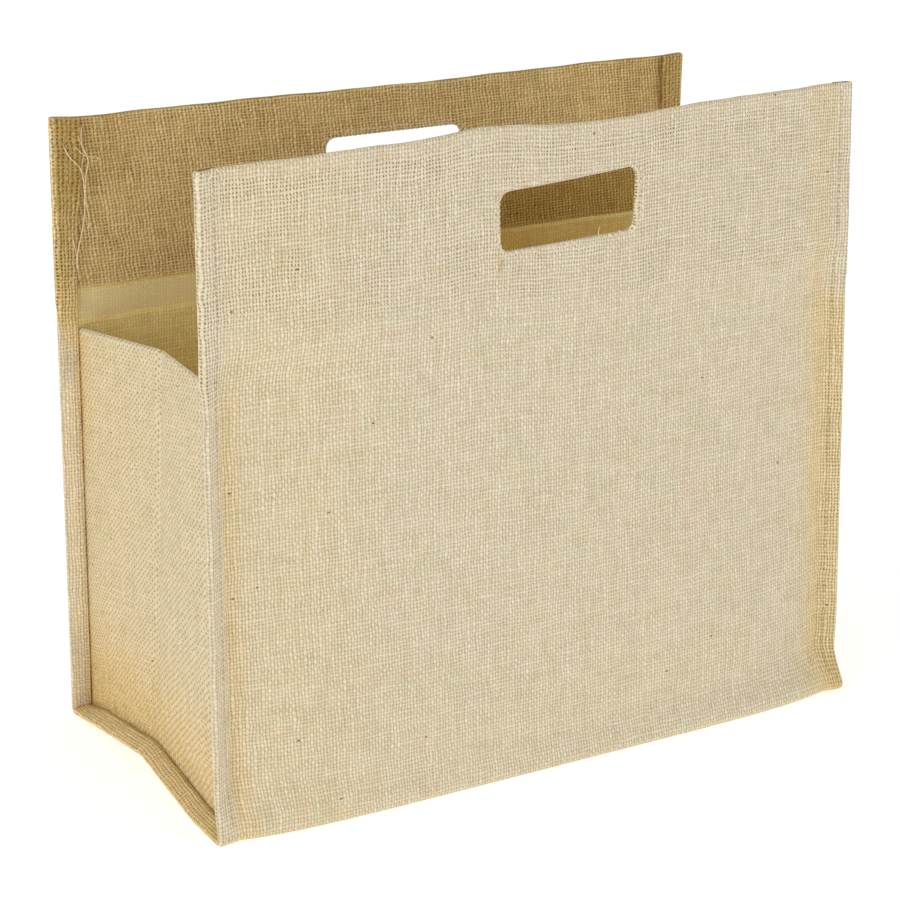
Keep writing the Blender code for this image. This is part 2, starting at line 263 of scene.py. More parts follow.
    def front_creases(self, u: np.ndarray, z: np.ndarray) -> np.ndarray:
        """The front's own small folds and waves, which die out at its seams.

        Args:
            u: distances across the strip from its middle.
            z: heights above the floor.

        Returns:
            The distances, forward being positive.
        """
        fold = 0.9 * MM * hump(u, -0.0405, 0.0045) * smooth_step((z - 0.285) / 0.03)
        dent = -0.8 * MM * hump(u, -0.028, 0.010) * smooth_step((z - 0.30) / 0.03)
        waves = 0.35 * MM * np.sin(23.0 * u + 1.3 + 9.0 * z) * np.sin(31.0 * z + 0.6)
        waves = waves + 0.22 * MM * np.sin(61.0 * u - 27.0 * z) * np.sin(47.0 * z + 2.1 + 11.0 * u)
        step = -0.4 * MM * smooth_step((0.262 - 0.01 * u / self.seam_u - z) / 0.004)
        return (fold + dent + waves + step) * self.waving(u, z)

    def back_out(self, u: np.ndarray, z: np.ndarray, v: np.ndarray) -> np.ndarray:
        """How far the back stands behind its flange edges' plane.

        Args:
            u: distances across the strip from its middle.
            z: heights above the floor.
            v: distances along the strip from the front's top edge.

        Returns:
            The distances, backward being positive.
        """
        inset = self.across(u, v)[1]
        height = z / self.back_height
        swell = self.swell(u, self.flatness(self.back_flatness, z))
        waves = 0.4 * MM * np.sin(27.0 * u - 0.7) * np.sin(33.0 * z + 0.4) * self.waving(u, z)
        out = mix(-inset, self.back_swell * np.maximum(0.0, 1 - height) ** self.back_fade, swell)
        return -self.back_forward * height + out + waves

    def ridge(self, u: np.ndarray, y: np.ndarray) -> np.ndarray:
        """The base's old middle fold, 1 at its crest above the two ends.

        Args:
            u: distances across the strip from its middle.
            y: distances behind the middle of the base.

        Returns:
            Shares of the fold's height, from 0 to 1.
        """
        end = smooth_step((abs(u) - self.ridge_start) / (self.seam_u - self.ridge_start))
        run = np.where(y > 0, self.half_depth, self.front_ridge_run)
        return end * np.maximum(0.0, 1 - abs(y) / run)

    def base_height(self, u: np.ndarray, y: np.ndarray, v: np.ndarray) -> np.ndarray:
        """Height of the base's middle surface."""
        curl = self.across(u, v)[1] * (1 - self.swell(u, self.base_flatness))
        return self.cloth / 2 + curl + self.ridge_lift * self.ridge(u, y)

    def front_top(self, u: np.ndarray) -> np.ndarray:
        """Height of the front's top edge, which stands up beside the hand hole.

        Args:
            u: distances across the strip from its middle.

        Returns:
            The heights.
        """
        crest = 4.4 * MM * hump(u, -0.042, 0.036) + 1.5 * MM * hump(u, -0.105, 0.050)
        right = 2.5 * MM * hump(u, 0.108, 0.052) + 1.5 * MM * hump(u, 0.185, 0.028)
        corner = -0.8 * MM * hump(u, -0.21, 0.02)
        wobble = 0.18 * MM * np.sin(95.0 * u + 0.5) + 0.12 * MM * np.sin(213.0 * u)
        return self.front_height + crest + right + corner + wobble - self.layer / 2 - self.cloth / 2

    def back_top(self, u: np.ndarray) -> np.ndarray:
        """Height of the back's top edge, which sags a little over the hand hole.

        Args:
            u: distances across the strip from its middle.

        Returns:
            The heights.
        """
        sag = -1.2 * MM * hump(u, 0.02, 0.08) + 1.5 * MM * hump(u, -0.212, 0.015)
        wobble = 0.18 * MM * np.sin(83.0 * u + 1.9) + 0.12 * MM * np.sin(190.0 * u + 0.4)
        return self.back_height + sag + wobble - self.layer / 2 - self.cloth / 2

    def surface(self, u: np.ndarray, v: np.ndarray) -> np.ndarray:
        """Middle surface of the strip.

        Args:
            u: distances across the strip.
            v: distances along the strip.

        Returns:
            Points, with one more dimension than u and v.
        """
        u, v = np.broadcast_arrays(np.asarray(u, float), np.asarray(v, float))
        x, _ = self.across(u, v)
        half, radius, low = self.half_depth, self.fold_radius, self.low
        front_z = mix(low, self.front_top(u), (self.front_end - v) / self.front_end)
        back_z = mix(low, self.back_top(u), (v - self.back_turn_end) / self.back_length)
        front_foot = -half + radius - self.front_out(u, low + 0 * u, 0 * v + self.front_end)
        back_foot = half - radius + self.back_out(u, low + 0 * u, 0 * v + self.back_turn_end)
        front_angle = np.clip((v - self.front_end) / radius, 0.0, math.pi / 2)
        back_angle = np.clip((self.back_turn_end - v) / radius, 0.0, math.pi / 2)
        front_rise = (self.base_height(u, front_foot, v) - self.cloth / 2) * np.sin(front_angle)
        back_rise = (self.base_height(u, back_foot, v) - self.cloth / 2) * np.sin(back_angle)
        share = (v - self.front_turn_end) / (self.base_end - self.front_turn_end)
        base_y = mix(front_foot, back_foot, share)
        pull = self.ridge_pull * self.ridge(u, base_y)

        on_front, on_back = v <= self.front_end, v >= self.back_turn_end
        on_front_turn, on_back_turn = v <= self.front_turn_end, v >= self.base_end
        cases = [on_front, on_back, on_front_turn, on_back_turn]
        y = np.select(cases, [-half - self.front_out(u, front_z, v), half + self.back_out(u, back_z, v),
                              front_foot - radius * np.cos(front_angle),
                              back_foot + radius * np.cos(back_angle)], base_y)
        z = np.select(cases, [front_z, back_z, low - radius * np.sin(front_angle) + front_rise,
                              low - radius * np.sin(back_angle) + back_rise],
                      self.base_height(u, base_y, v))
        x = np.select(cases, [x, x, x, x], x - np.copysign(pull, u))
        return np.stack([x, y, z], axis=-1)

    def inward(self, u: np.ndarray, v: np.ndarray) -> np.ndarray:
        """Directions that point from the strip's outer face into the bag.

        Args:
            u: distances across the strip from its middle.
            v: distances along the strip from the front's top edge.

        Returns:
            Unit vectors, one for each place.
        """
        step = 0.4 * MM
        along_u = self.surface(u + step, v) - self.surface(u - step, v)
        along_v = self.surface(u, v + step) - self.surface(u, v - step)
        return unit(np.cross(along_u, along_v))

    def place(self, u: np.ndarray, v: np.ndarray, depth: np.ndarray) -> np.ndarray:
        """Points of a layer that lies a given distance inside the strip's middle surface."""
        u, v = np.broadcast_arrays(np.asarray(u, float), np.asarray(v, float))
        return self.surface(u, v) + self.inward(u, v) * np.asarray(depth, float)[..., None]

    def spot(self, x: np.ndarray, z: np.ndarray, front: bool) -> tuple[np.ndarray, np.ndarray]:
        """The u and v of a place on the front or the back, from how far across and how high it is.

        Args:
            x: distances to the right of the middle.
            z: heights above the floor.
            front: whether the places are on the front, not the back.

        Returns:
            u and v of each place.
        """
        seam_x = self.across(np.array(self.seam_u), np.array(0.0 if front else self.strip_end))[0]
        u = x * self.seam_u / seam_x
        if front:
            share = (z - self.low) / (self.front_top(u) - self.low)
            return u, self.front_end - share * self.front_end
        share = (z - self.low) / (self.back_top(u) - self.low)
        return u, self.back_turn_end + share * self.back_length

    def leg_height(self, v: np.ndarray) -> np.ndarray:
        """Height along the front or back leg, 0 on the base.

        Args:
            v: distances along the strip from the front's top edge.

        Returns:
            The heights.
        """
        front = self.fold_radius + self.front_end - v
        back = self.fold_radius + v - self.back_turn_end
        return np.where(v <= self.front_end, front, np.where(v >= self.back_turn_end, back, 0.0))

    def hem_stack(self, v: np.ndarray) -> np.ndarray:
        """Distance from the cloth to its hem: room for the gusset, or for the facing and its hem."""
        step = smooth_step((self.leg_height(v) - self.stack_step) / self.stack_run)
        return self.layer * mix(2.0, 3.0, step)

    def raw_edge(self, v: np.ndarray) -> np.ndarray:
        """The hem's raw edge, measured across the strip."""
        flare = smooth_step((v - self.strip_end + self.flare_run) / self.flare_run)
        return self.seam_u + self.hem_edge - self.hem_flare * flare


# ------------------------------------------------------------------------------------ mesh helpers
def grid_mesh(name: str, points: np.ndarray, cloth_uv: np.ndarray, zones: np.ndarray) -> bpy.types.Mesh:
    """A one-sided sheet from rows of points.

    Args:
        name: name of the mesh.
        points: rows x columns x 3 positions.
        cloth_uv: rows x columns x 2 places on the flat cloth, in metres.
        zones: rows x columns x 2 masks, how much browner the cloth is, mostly painted shade, and how open its
            gaps look.

    Returns:
        A mesh with the UV maps "cloth" and "zone".
    """
    rows, columns = points.shape[:2]
    index = np.arange(rows * columns).reshape(rows, columns)
    quads = np.stack([index[:-1, :-1], index[1:, :-1], index[1:, 1:], index[:-1, 1:]], axis=-1)
    quads = quads.reshape(-1, 4)
    mesh = bpy.data.meshes.new(name)
    mesh.from_pydata(points.reshape(-1, 3).tolist(), [], quads.tolist())
    for label, values in (("cloth", cloth_uv), ("zone", zones)):
        layer = mesh.uv_layers.new(name=label)
        corners = values.reshape(-1, 2)[quads.reshape(-1)]
        layer.data.foreach_set("uv", corners.astype(np.float32).reshape(-1))
    return mesh


def add_piece(name: str, mesh: bpy.types.Mesh) -> bpy.types.Object:
    """An object for a mesh, at the origin.

    Args:
        name: the piece's name.
        mesh: its mesh, already in place.

    Returns:
        The new object.
    """
    piece = bpy.data.objects.new(name, mesh)
    bpy.context.scene.collection.objects.link(piece)
    return piece


def freeze(piece: bpy.types.Object) -> bpy.types.Object:
    """Turn a piece and its modifiers into one plain mesh.

    Args:
        piece: the piece, which is changed.

    Returns:
        The same piece.
    """
    evaluated = piece.evaluated_get(bpy.context.evaluated_depsgraph_get())
    mesh = bpy.data.meshes.new_from_object(evaluated)
    piece.modifiers.clear()
    old = piece.data
    piece.data = mesh
    mesh.name = piece.name
    if isinstance(old, bpy.types.Mesh):
        bpy.data.meshes.remove(old)
    return piece


def smooth(mesh: bpy.types.Mesh, angle: float = 40.0) -> None:
    """Smooth shading with the sharp edges kept."""
    mesh.shade_smooth()
    mesh.set_sharp_from_angle(angle=math.radians(angle))


def close_up(mesh: bpy.types.Mesh) -> None:
    """Join the points that meet and turn the faces outwards.

    Args:
        mesh: the mesh, which is changed.
    """
    made = bmesh.new()
    made.from_mesh(mesh)
    bmesh.ops.remove_doubles(made, verts=made.verts, dist=0.01 * MM)
    bmesh.ops.recalc_face_normals(made, faces=made.faces)
    made.to_mesh(mesh)
    made.free()


# -------------------------------------------------------------------------------------- materials
class Graph:
    """Adds nodes to one node tree and joins them."""

    def __init__(self, tree: bpy.types.NodeTree) -> None:
        """Keep the tree."""
        self.tree = tree

    def node(self, kind: str, **settings: object) -> bpy.types.Node:
        """A new node with its settings.

        Args:
            kind: the node's type.
            settings: the properties to set on it.

        Returns:
            The node.
        """
        made = self.tree.nodes.new(kind)
        for key, value in settings.items():
            setattr(made, key, value)
        return made

    def feed(self, socket: Socket, value: Value) -> None:
        """Join a socket to another one, or set its value.

        Args:
            socket: the input to fill.
            value: the socket or the plain value that goes in.
        """
        if isinstance(value, Socket):
            self.tree.links.new(value, socket)
        else:
            socket.default_value = value

    def math(self, operation: str, *values: Value, clamp: bool = False) -> Socket:
        """A Math node's result.

        Args:
            operation: the operation, as Blender names it.
            clamp: whether the result is kept between 0 and 1.
            values: what goes into the inputs, in order.

        Returns:
            Its output.
        """
        made = self.node("ShaderNodeMath", operation=operation, use_clamp=clamp)
        for socket, value in zip(made.inputs, values):
            self.feed(socket, value)
        return made.outputs[0]

    def vector(self, operation: str, *values: Value) -> Socket:
        """A Vector Math node's result.

        Args:
            operation: the operation, as Blender names it.
            values: what goes into the inputs, in order.

        Returns:
            Its output.
        """
        made = self.node("ShaderNodeVectorMath", operation=operation)
        for socket, value in zip(made.inputs, values):
            self.feed(socket, value)
        return made.outputs[0]

    def combine(self, x: Value, y: Value, z: Value) -> Socket:
        """A vector from three values.

        Args:
            x: the first part.
            y: the second part.
            z: the third part.

        Returns:
            Its output.
        """
        made = self.node("ShaderNodeCombineXYZ")
        for socket, value in zip(made.inputs, (x, y, z)):
            self.feed(socket, value)
        return made.outputs[0]

    def noise(self, vector: Value, scale: float, detail: float) -> Socket:
        """Smooth noise about 0.5.

        Args:
            vector: where it is read.
            scale: how fine it is.
            detail: how many finer layers are added.

        Returns:
            Its output.
        """
        made = self.node("ShaderNodeTexNoise", noise_dimensions="3D")
        self.feed(made.inputs["Vector"], vector)
        self.feed(made.inputs["Scale"], scale)
        self.feed(made.inputs["Detail"], detail)
        return made.outputs["Fac"]

    def ramp(self, value: Value, low: Value, high: Value, start: Value = 0.0, end: Value = 1.0) -> Socket:
        """A smooth step of the value from low to high, put out between start and end.

        Args:
            value: what is stepped.
            low: where the step begins.
            high: where the step ends.
            start: the result below low.
            end: the result above high.

        Returns:
            Its output.
        """
        made = self.node("ShaderNodeMapRange", interpolation_type="SMOOTHSTEP")
        for socket, amount in zip(made.inputs, (value, low, high, start, end)):
            self.feed(socket, amount)
        return made.outputs[0]

    def lerp(self, share: Value, first: Value, second: Value) -> Socket:
        """A mix of two numbers.

        Args:
            share: how much of the second.
            first: the result at 0.
            second: the result at 1.

        Returns:
            Its output.
        """
        made = self.node("ShaderNodeMix", data_type="FLOAT")
        for socket, value in zip(made.inputs, (share, None, first, second)):
            if value is not None:
                self.feed(socket, value)
        return made.outputs[0]

    def blend(self, share: Value, first: Value, second: Value, kind: str = "MIX") -> Socket:
        """A mix of two colours.

        Args:
            share: how much of the second.
            first: the result at 0.
            second: the colour mixed in.
            kind: the way of mixing, as Blender names it.

        Returns:
            Its output.
        """
        made = self.node("ShaderNodeMix", data_type="RGBA", blend_type=kind)
        self.feed(made.inputs["Factor"], share)
        self.feed(made.inputs["A"], first)
        self.feed(made.inputs["B"], second)
        return made.outputs["Result"]

    def tint(self, share: Value, colour: Value, factor: Value) -> Socket:
        """A colour multiplied by another one, by a share."""
        return self.blend(share, colour, factor, "MULTIPLY")

    def split(self, vector: Value) -> bpy.types.bpy_prop_collection:
        """A vector's three parts.

        Args:
            vector: the vector.

        Returns:
            The three outputs.
        """
        made = self.node("ShaderNodeSeparateXYZ")
        self.feed(made.inputs[0], vector)
        return made.outputs


def rgb(red: float, green: float, blue: float) -> tuple[float, float, float, float]:
    """A colour for a socket."""
    return (red, green, blue, 1.0)


def open_group(name: str, inputs: dict[str, tuple[str, object]], outputs: dict[str, str]) -> tuple:
    """A new shader node group.

    Args:
        name: the group's name.
        inputs: for each input its socket type and default value.
        outputs: for each output its socket type.

    Returns:
        The group, a Graph on it, the inputs' sockets by name and the group's output node.
    """
    group = bpy.data.node_groups.new(name, "ShaderNodeTree")
    for label, (kind, default) in inputs.items():
        socket = group.interface.new_socket(name=label, in_out="INPUT", socket_type=kind)
        if default is not None:
            socket.default_value = default
    for label, kind in outputs.items():
        group.interface.new_socket(name=label, in_out="OUTPUT", socket_type=kind)
    entry = group.nodes.new("NodeGroupInput")
    leave = group.nodes.new("NodeGroupOutput")
    return group, Graph(group), entry.outputs, leave


def open_material(name: str) -> tuple[bpy.types.Material, Graph, bpy.types.Node]:
    """A new material.

    Args:
        name: the material's name.

    Returns:
        The material, a Graph on it and its shader node.
    """
    material = bpy.data.materials.new(name)
    material.use_nodes = True
    return material, Graph(material.node_tree), material.node_tree.nodes["Principled BSDF"]


class WeaveGroup:
    """Plain weave: yarns over and under each other with open gaps between them."""

    name = "plain_weave"

    def build(self) -> bpy.types.NodeTree:
        """Make the group.

        Returns:
            A group with a yarn tone, a gap mask, a height and how well lit each place is.
        """
        number = "NodeSocketFloat"
        group, g, given, leave = open_group(
            self.name,
            {"Cloth": ("NodeSocketVector", None), "Across Pitch": (number, 1.8 * MM),
             "Along Pitch": (number, 2.05 * MM), "Yarn Width": (number, 0.33), "Unevenness": (number, 0.11),
             "Weft Shade": (number, 0.2), "Slant": (number, 0.0)},
            {"Tone": number, "Gap": number, "Height": number, "Light": number})
        cloth = given["Cloth"]
        wander = g.node("ShaderNodeTexNoise", noise_dimensions="3D")
        g.feed(wander.inputs["Vector"], cloth)
        g.feed(wander.inputs["Scale"], 75.0)
        g.feed(wander.inputs["Detail"], 2.0)
        shift = g.split(g.vector("SUBTRACT", wander.outputs["Color"], (0.5, 0.5, 0.5)))
        place = g.split(cloth)
        x = g.math("ADD", g.math("DIVIDE", place[0], given["Across Pitch"]),
                   g.math("MULTIPLY", shift[0], 1.2))
        y = g.math("ADD", g.math("DIVIDE", place[1], given["Along Pitch"]), shift[1])
        x, y = self.jitter(g, x, y, 4.2), self.jitter(g, y, x, 9.6)
        column, row = g.math("FLOOR", x), g.math("FLOOR", y)
        fx = g.math("SUBTRACT", g.math("FRACT", x), 0.5)
        fy = g.math("SUBTRACT", g.math("FRACT", y), 0.5)
        warp = self.yarn(g, fx, column, x, y, given, seed=3.1, crimp=0.36, wide=0.035)
        weft = self.yarn(g, fy, row, y, x, given, seed=17.7, crimp=-0.42, wide=0.0,
                         dim=given["Weft Shade"])
        gap = g.math("MULTIPLY", *(g.math("SUBTRACT", 1.0, yarns["cover"]) for yarns in (warp, weft)))
        over = g.ramp(g.math("SUBTRACT", warp["height"], weft["height"]), -0.05, 0.05)
        # Painted light and shade in diagonal lines across the crossings; the same lines darken the gaps.
        waves = [g.math("COSINE", g.math("MULTIPLY", way, math.pi)) for way in (x, y)]
        diagonal = g.math("MULTIPLY", g.math("MULTIPLY", *waves), given["Slant"])
        g.feed(leave.inputs["Tone"], g.lerp(over, weft["tone"], warp["tone"]))
        light = g.lerp(over, weft["light"], warp["light"])
        g.feed(leave.inputs["Light"], g.math("SUBTRACT", light, diagonal))
        slanted = g.math("MULTIPLY_ADD", diagonal, 1.6, 1.0)
        g.feed(leave.inputs["Gap"], g.math("MULTIPLY", gap, slanted, clamp=True))
        g.feed(leave.inputs["Height"], g.math("MAXIMUM", warp["height"], weft["height"]))
        return group

    def jitter(self, g: Graph, place: Socket, along: Socket, seed: float) -> Socket:
        """Uneven spacing: the place across the yarns, moved by up to a quarter of their pitch."""
        spot = g.combine(g.math("MULTIPLY", place, 0.8), g.math("MULTIPLY", along, 0.16), seed)
        return g.math("MULTIPLY_ADD", g.math("SUBTRACT", g.noise(spot, 1.0, 0.0), 0.5), 0.6, place)

    def yarn(self, g: Graph, side: Socket, index: Socket, place: Socket, along: Socket,
             given: bpy.types.bpy_prop_collection, seed: float, crimp: float, wide: float,
             dim: Value = 0.0) -> dict[str, Socket]:
        """One set of yarns.

        Args:
            g: the group's graph.
            side: distance across a yarn from its middle, in pitches.
            index: number of the yarn.
            place: position across the yarns.
            along: position along them.
            given: the group's inputs.
            seed: where its noise is read.
            crimp: how much it rises and falls; below 0 where it starts under.
            wide: how much wider it is than the group's yarn width.
            dim: how much less light it gets than the other set.

        Returns:
            Sockets: cover, height, light and tone.
        """
        lane = g.combine(g.math("MULTIPLY", index, 1.73), g.math("MULTIPLY", along, 0.09), seed)
        thick = g.math("SUBTRACT", g.noise(lane, 1.0, 2.0), 0.5)
        local = g.combine(g.math("MULTIPLY", index, 2.31), g.math("MULTIPLY", along, 0.9), seed + 5.0)
        slub = g.math("SUBTRACT", g.noise(local, 1.0, 1.0), 0.5)
        uneven = g.math("ADD", g.math("MULTIPLY", thick, 1.4), g.math("MULTIPLY", slub, 1.8))
        half = g.math("ADD", g.math("ADD", given["Yarn Width"], wide),
                      g.math("MULTIPLY", uneven, given["Unevenness"]))
        reach = g.math("ABSOLUTE", side)
        cover = g.ramp(reach, g.math("SUBTRACT", half, 0.05), g.math("ADD", half, 0.05), 1.0, 0.0)
        turn = g.math("ADD", g.math("SUBTRACT", along, 0.5), index)
        lift = g.math("MULTIPLY_ADD", g.math("COSINE", g.math("MULTIPLY", turn, math.pi)), crimp, 0.5)
        share = g.math("DIVIDE", reach, half)
        crown = g.math("SUBTRACT", 1.0, g.math("MULTIPLY", share, share))
        light = g.math("MULTIPLY_ADD", crown, 0.45, g.math("SUBTRACT", g.math("MULTIPLY", lift, 0.62), dim))
        height = g.math("MULTIPLY", cover, g.math("MULTIPLY_ADD", crown, 0.30, lift))
        fibre = g.combine(g.math("MULTIPLY", place, 7.0), g.math("MULTIPLY", along, 1.1), seed + 11.0)
        tone = g.math("MULTIPLY_ADD", g.noise(lane, 1.37, 1.0), 0.45,
                      g.math("MULTIPLY", g.noise(fibre, 1.0, 2.0), 0.55))
        return {"cover": cover, "height": height, "light": light, "tone": tone}


class BlotchGroup:
    """Slow changes of colour over the cloth, and rare dark flecks of bark."""

    name = "cloth_blotches"

    def build(self) -> bpy.types.NodeTree:
        """Make the group, which puts out warm, green, open and fleck masks.

        Returns:
            The group.
        """
        number = "NodeSocketFloat"
        group, g, given, leave = open_group(
            self.name, {"Cloth": ("NodeSocketVector", None)},
            {"Warm": number, "Green": number, "Open": number, "Fleck": number})
        cloth = given["Cloth"]
        masks = (("Warm", 3.3, 140.0, 0.40, 0.70), ("Green", 7.1, 48.0, 0.50, 0.72),
                 ("Open", 1.9, 40.0, 0.36, 0.64))
        for label, offset, scale, low, high in masks:
            moved = g.vector("ADD", cloth, (offset, 1.7, 0.4))
            g.feed(leave.inputs[label], g.ramp(g.noise(moved, scale, 3.0), low, high))
        spots = g.node("ShaderNodeTexVoronoi", voronoi_dimensions="2D", feature="F1")
        g.feed(spots.inputs["Vector"], g.vector("MULTIPLY", cloth, (0.62, 1.0, 1.0)))
        g.feed(spots.inputs["Scale"], 150.0)
        chance = g.node("ShaderNodeSeparateColor")
        g.feed(chance.inputs[0], spots.outputs["Color"])
        rare = g.math("GREATER_THAN", chance.outputs[0], 0.994)
        near = g.ramp(spots.outputs["Distance"], 0.05, 0.12, 0.8, 0.0)
        g.feed(leave.inputs["Fleck"], g.math("MULTIPLY", rare, near))
        return group


@dataclass(frozen=True)
class JuteFinish:
    """Woven jute: dry, matt yarns with dark gaps between them.

    The map "zone" holds how much browner the cloth is, mostly painted shade, and how open its gaps look;
    below 0 they hold the painted light of the film's lit band and the painted shade of its darker part.
    """

    name: str
    yarn_light: tuple = rgb(0.89, 0.80, 0.615)
    yarn_dark: tuple = rgb(0.73, 0.635, 0.455)
    shade: tuple = rgb(0.62, 0.56, 0.46)
    gap_colour: tuple = rgb(0.36, 0.28, 0.155)
    gap_open: tuple = rgb(0.20, 0.125, 0.05)
    gap_deep: tuple = rgb(0.095, 0.06, 0.032)
    # Tint of the browner zones, mostly painted shade; the next colour deepens the painted shade on the inside
    # facings and upper hems.
    brown_and_shade: tuple = rgb(1.08, 0.93, 0.595)
    deep_brown: tuple = rgb(0.58, 0.50, 0.27)
    yarn_width: tuple = (0.335, 0.295)
    # Painted light on the film's lit band below the back facing.
    film_light: tuple = rgb(0.83, 0.70, 0.405)
    weft_shade: float = 0.24
    pitch: tuple = (1.8 * MM, 2.05 * MM)
    slant: float = -0.05
    unevenness: float = 0.11
    relief: float = 0.35 * MM
    roughness: float = 0.92
    film: bool = False

    def build(self) -> bpy.types.Material:
        """Make the material.

        Returns:
            The material.
        """
        material, g, shader = open_material(self.name)
        cloth = g.node("ShaderNodeUVMap", uv_map="cloth").outputs[0]
        # Zone map: how much browner the cloth is, mostly painted shade, below 0 painted light on the film;
        # then how open the gaps look.
        brown_and_shade, double, _ = g.split(g.node("ShaderNodeUVMap", uv_map="zone").outputs[0])
        weave = self.weave(g, cloth, brown_and_shade, double)
        blotch = g.node("ShaderNodeGroup", node_tree=bpy.data.node_groups[BlotchGroup.name])
        g.feed(blotch.inputs["Cloth"], cloth)
        yarn = self.yarn_colour(g, weave.outputs, blotch.outputs, brown_and_shade, double)
        # Gaps darker on double layers, and darker still under the painted shade of the browner zones.
        dark = g.blend(g.math("MAXIMUM", double, brown_and_shade), self.gap_colour, self.gap_open)
        dark = g.blend(g.ramp(brown_and_shade, 0.2, 0.6), dark, self.gap_deep)
        loose = blotch.outputs["Open"]
        strength = g.lerp(double, g.lerp(loose, 0.12, 0.55), g.lerp(loose, 0.62, 0.95))
        colour = g.blend(g.math("MULTIPLY", weave.outputs["Gap"], strength), yarn, dark)
        colour = self.paling_and_browning(g, colour, weave.outputs["Tone"], brown_and_shade)
        colour = g.blend(blotch.outputs["Fleck"], colour, rgb(0.16, 0.08, 0.04))
        if self.film:
            # Painted light: the film's lit band below the back facing.
            colour = g.blend(g.ramp(brown_and_shade, -0.5, -0.05, 0.6, 0.0), colour, self.film_light)
            # Painted shade on the film below the lit band, towards the right.
            colour = g.tint(g.ramp(double, -1.0, 0.0, 1.0, 0.0), colour, rgb(0.62, 0.54, 0.38))
            shader.inputs["Coat Weight"].default_value = 0.25
            shader.inputs["Coat Roughness"].default_value = 0.35
        g.feed(shader.inputs["Base Color"], colour)
        bump = g.node("ShaderNodeBump")
        bump.inputs["Strength"].default_value = 0.8
        bump.inputs["Distance"].default_value = self.relief
        g.feed(bump.inputs["Height"], weave.outputs["Height"])
        g.feed(shader.inputs["Normal"], bump.outputs[0])
        shader.inputs["Roughness"].default_value = self.roughness
        shader.inputs["Specular IOR Level"].default_value = 0.25
        return material

    def weave(self, g: Graph, cloth: Socket, brown_and_shade: Socket, double: Socket) -> bpy.types.Node:
        """The weave's group node, set for this finish.

        Args:
            g: the graph to build in.
            cloth: places on the flat cloth.
            brown_and_shade: how much browner the cloth is, mostly painted shade.
            double: how closed its gaps look.

        Returns:
            The group node.
        """
        weave = g.node("ShaderNodeGroup", node_tree=bpy.data.node_groups[WeaveGroup.name])
        shade = g.lerp(double, 0.02, 0.36)
        width = g.math("SUBTRACT", g.lerp(double, *self.yarn_width), g.ramp(brown_and_shade, 0.2, 0.6, 0.0, 0.02))
        for label, value in {
                "Cloth": cloth, "Yarn Width": width, "Unevenness": self.unevenness,
                "Across Pitch": self.pitch[0], "Along Pitch": self.pitch[1],
                "Weft Shade": g.lerp(g.ramp(brown_and_shade, 0.25, 0.55), self.weft_shade, shade),
                "Slant": g.ramp(brown_and_shade, 0.25, 0.55, self.slant, 0.12)}.items():
            g.feed(weave.inputs[label], value)
        return weave

    def yarn_colour(self, g: Graph, weave: bpy.types.bpy_prop_collection,
                    blotch: bpy.types.bpy_prop_collection, brown_and_shade: Socket, double: Socket) -> Socket:
        """The yarns' colour, with painted shade where they dip under each other.

        Args:
            g: the graph to build in.
            weave: the weave's outputs.
            blotch: the blotches' outputs.
            brown_and_shade: how much browner the cloth is, mostly painted shade.
            double: how closed its gaps look.

        Returns:
            The colour's socket.
        """
        yarn = g.blend(g.ramp(weave["Tone"], 0.32, 0.62), self.yarn_dark, self.yarn_light)
        yarn = g.tint(g.math("MULTIPLY", blotch["Warm"], 0.4), yarn, rgb(0.97, 0.86, 0.72))
        yarn = g.tint(g.math("MULTIPLY", blotch["Green"], 0.5), yarn, rgb(0.92, 0.97, 0.92))
        # Painted shade where the weave gets less light, stronger in the browner zones.
        depth = g.math("ADD", g.lerp(double, 0.75, 0.55), g.ramp(brown_and_shade, 0.25, 0.55, 0.0, 0.15))
        low = g.math("MULTIPLY", g.ramp(weave["Light"], 0.25, 0.85, 1.0, 0.0), depth)
        return g.tint(low, yarn, self.shade)

    def paling_and_browning(self, g: Graph, colour: Socket, tone: Socket, brown_and_shade: Socket) -> Socket:
        """The cloth's colour where it is paler than the rest, which is painted light, and where it is
        browner, mostly painted shade.

        Args:
            g: the graph to build in.
            colour: the colour so far.
            tone: the yarns' own tone.
            brown_and_shade: how much browner the cloth is, mostly painted shade.

        Returns:
            The changed colour's socket.
        """
        # Painted shade on the dark yarns in the browner zones.
        dull = g.math("MULTIPLY", g.ramp(brown_and_shade, 0.25, 0.6), g.ramp(tone, 0.38, 0.56, 1.0, 0.0))
        colour = g.tint(dull, colour, rgb(0.86, 0.82, 0.74))
        # Painted light: paler where the zone map is below 0.
        colour = g.tint(g.ramp(brown_and_shade, -0.06, 0.0, 1.0, 0.0), colour, rgb(1.14, 1.13, 1.11))
        # Browner tint, mostly painted shade, and deeper painted shade on the inside facings and upper hems.
        colour = g.tint(g.ramp(brown_and_shade, 0.0, 0.6), colour, self.brown_and_shade)
        return g.tint(g.ramp(brown_and_shade, 0.6, 1.0), colour, self.deep_brown)


@dataclass(frozen=True)
class ThreadFinish:
    """Spun thread: one tone with a fine fibre pattern."""

    name: str
    dark: tuple = rgb(0.70, 0.57, 0.31)
    light: tuple = rgb(0.98, 0.84, 0.52)

    def build(self) -> bpy.types.Material:
        """Make the material.

        Returns:
            The material.
        """
        material, g, shader = open_material(self.name)
        place = g.node("ShaderNodeTexCoord").outputs["Object"]
        tone = g.ramp(g.noise(place, 900.0, 2.0), 0.35, 0.65)
        g.feed(shader.inputs["Base Color"], g.blend(tone, self.dark, self.light))
        shader.inputs["Roughness"].default_value = 0.9
        shader.inputs["Specular IOR Level"].default_value = 0.2
        return material


class Finish(Enum):
    """The bag's finishes."""

    BODY = "jute_body"
    BODY_FILM = "jute_body_film"
    GUSSET = "jute_gusset"
    GUSSET_FILM = "jute_gusset_film"
    THREAD = "jute_thread"
    SEAM = "seam_thread"
    YARN = "jute_yarn"
    PALE = "pale_fibre"
    STAINED = "stained_thread"
    BARK = "bark"


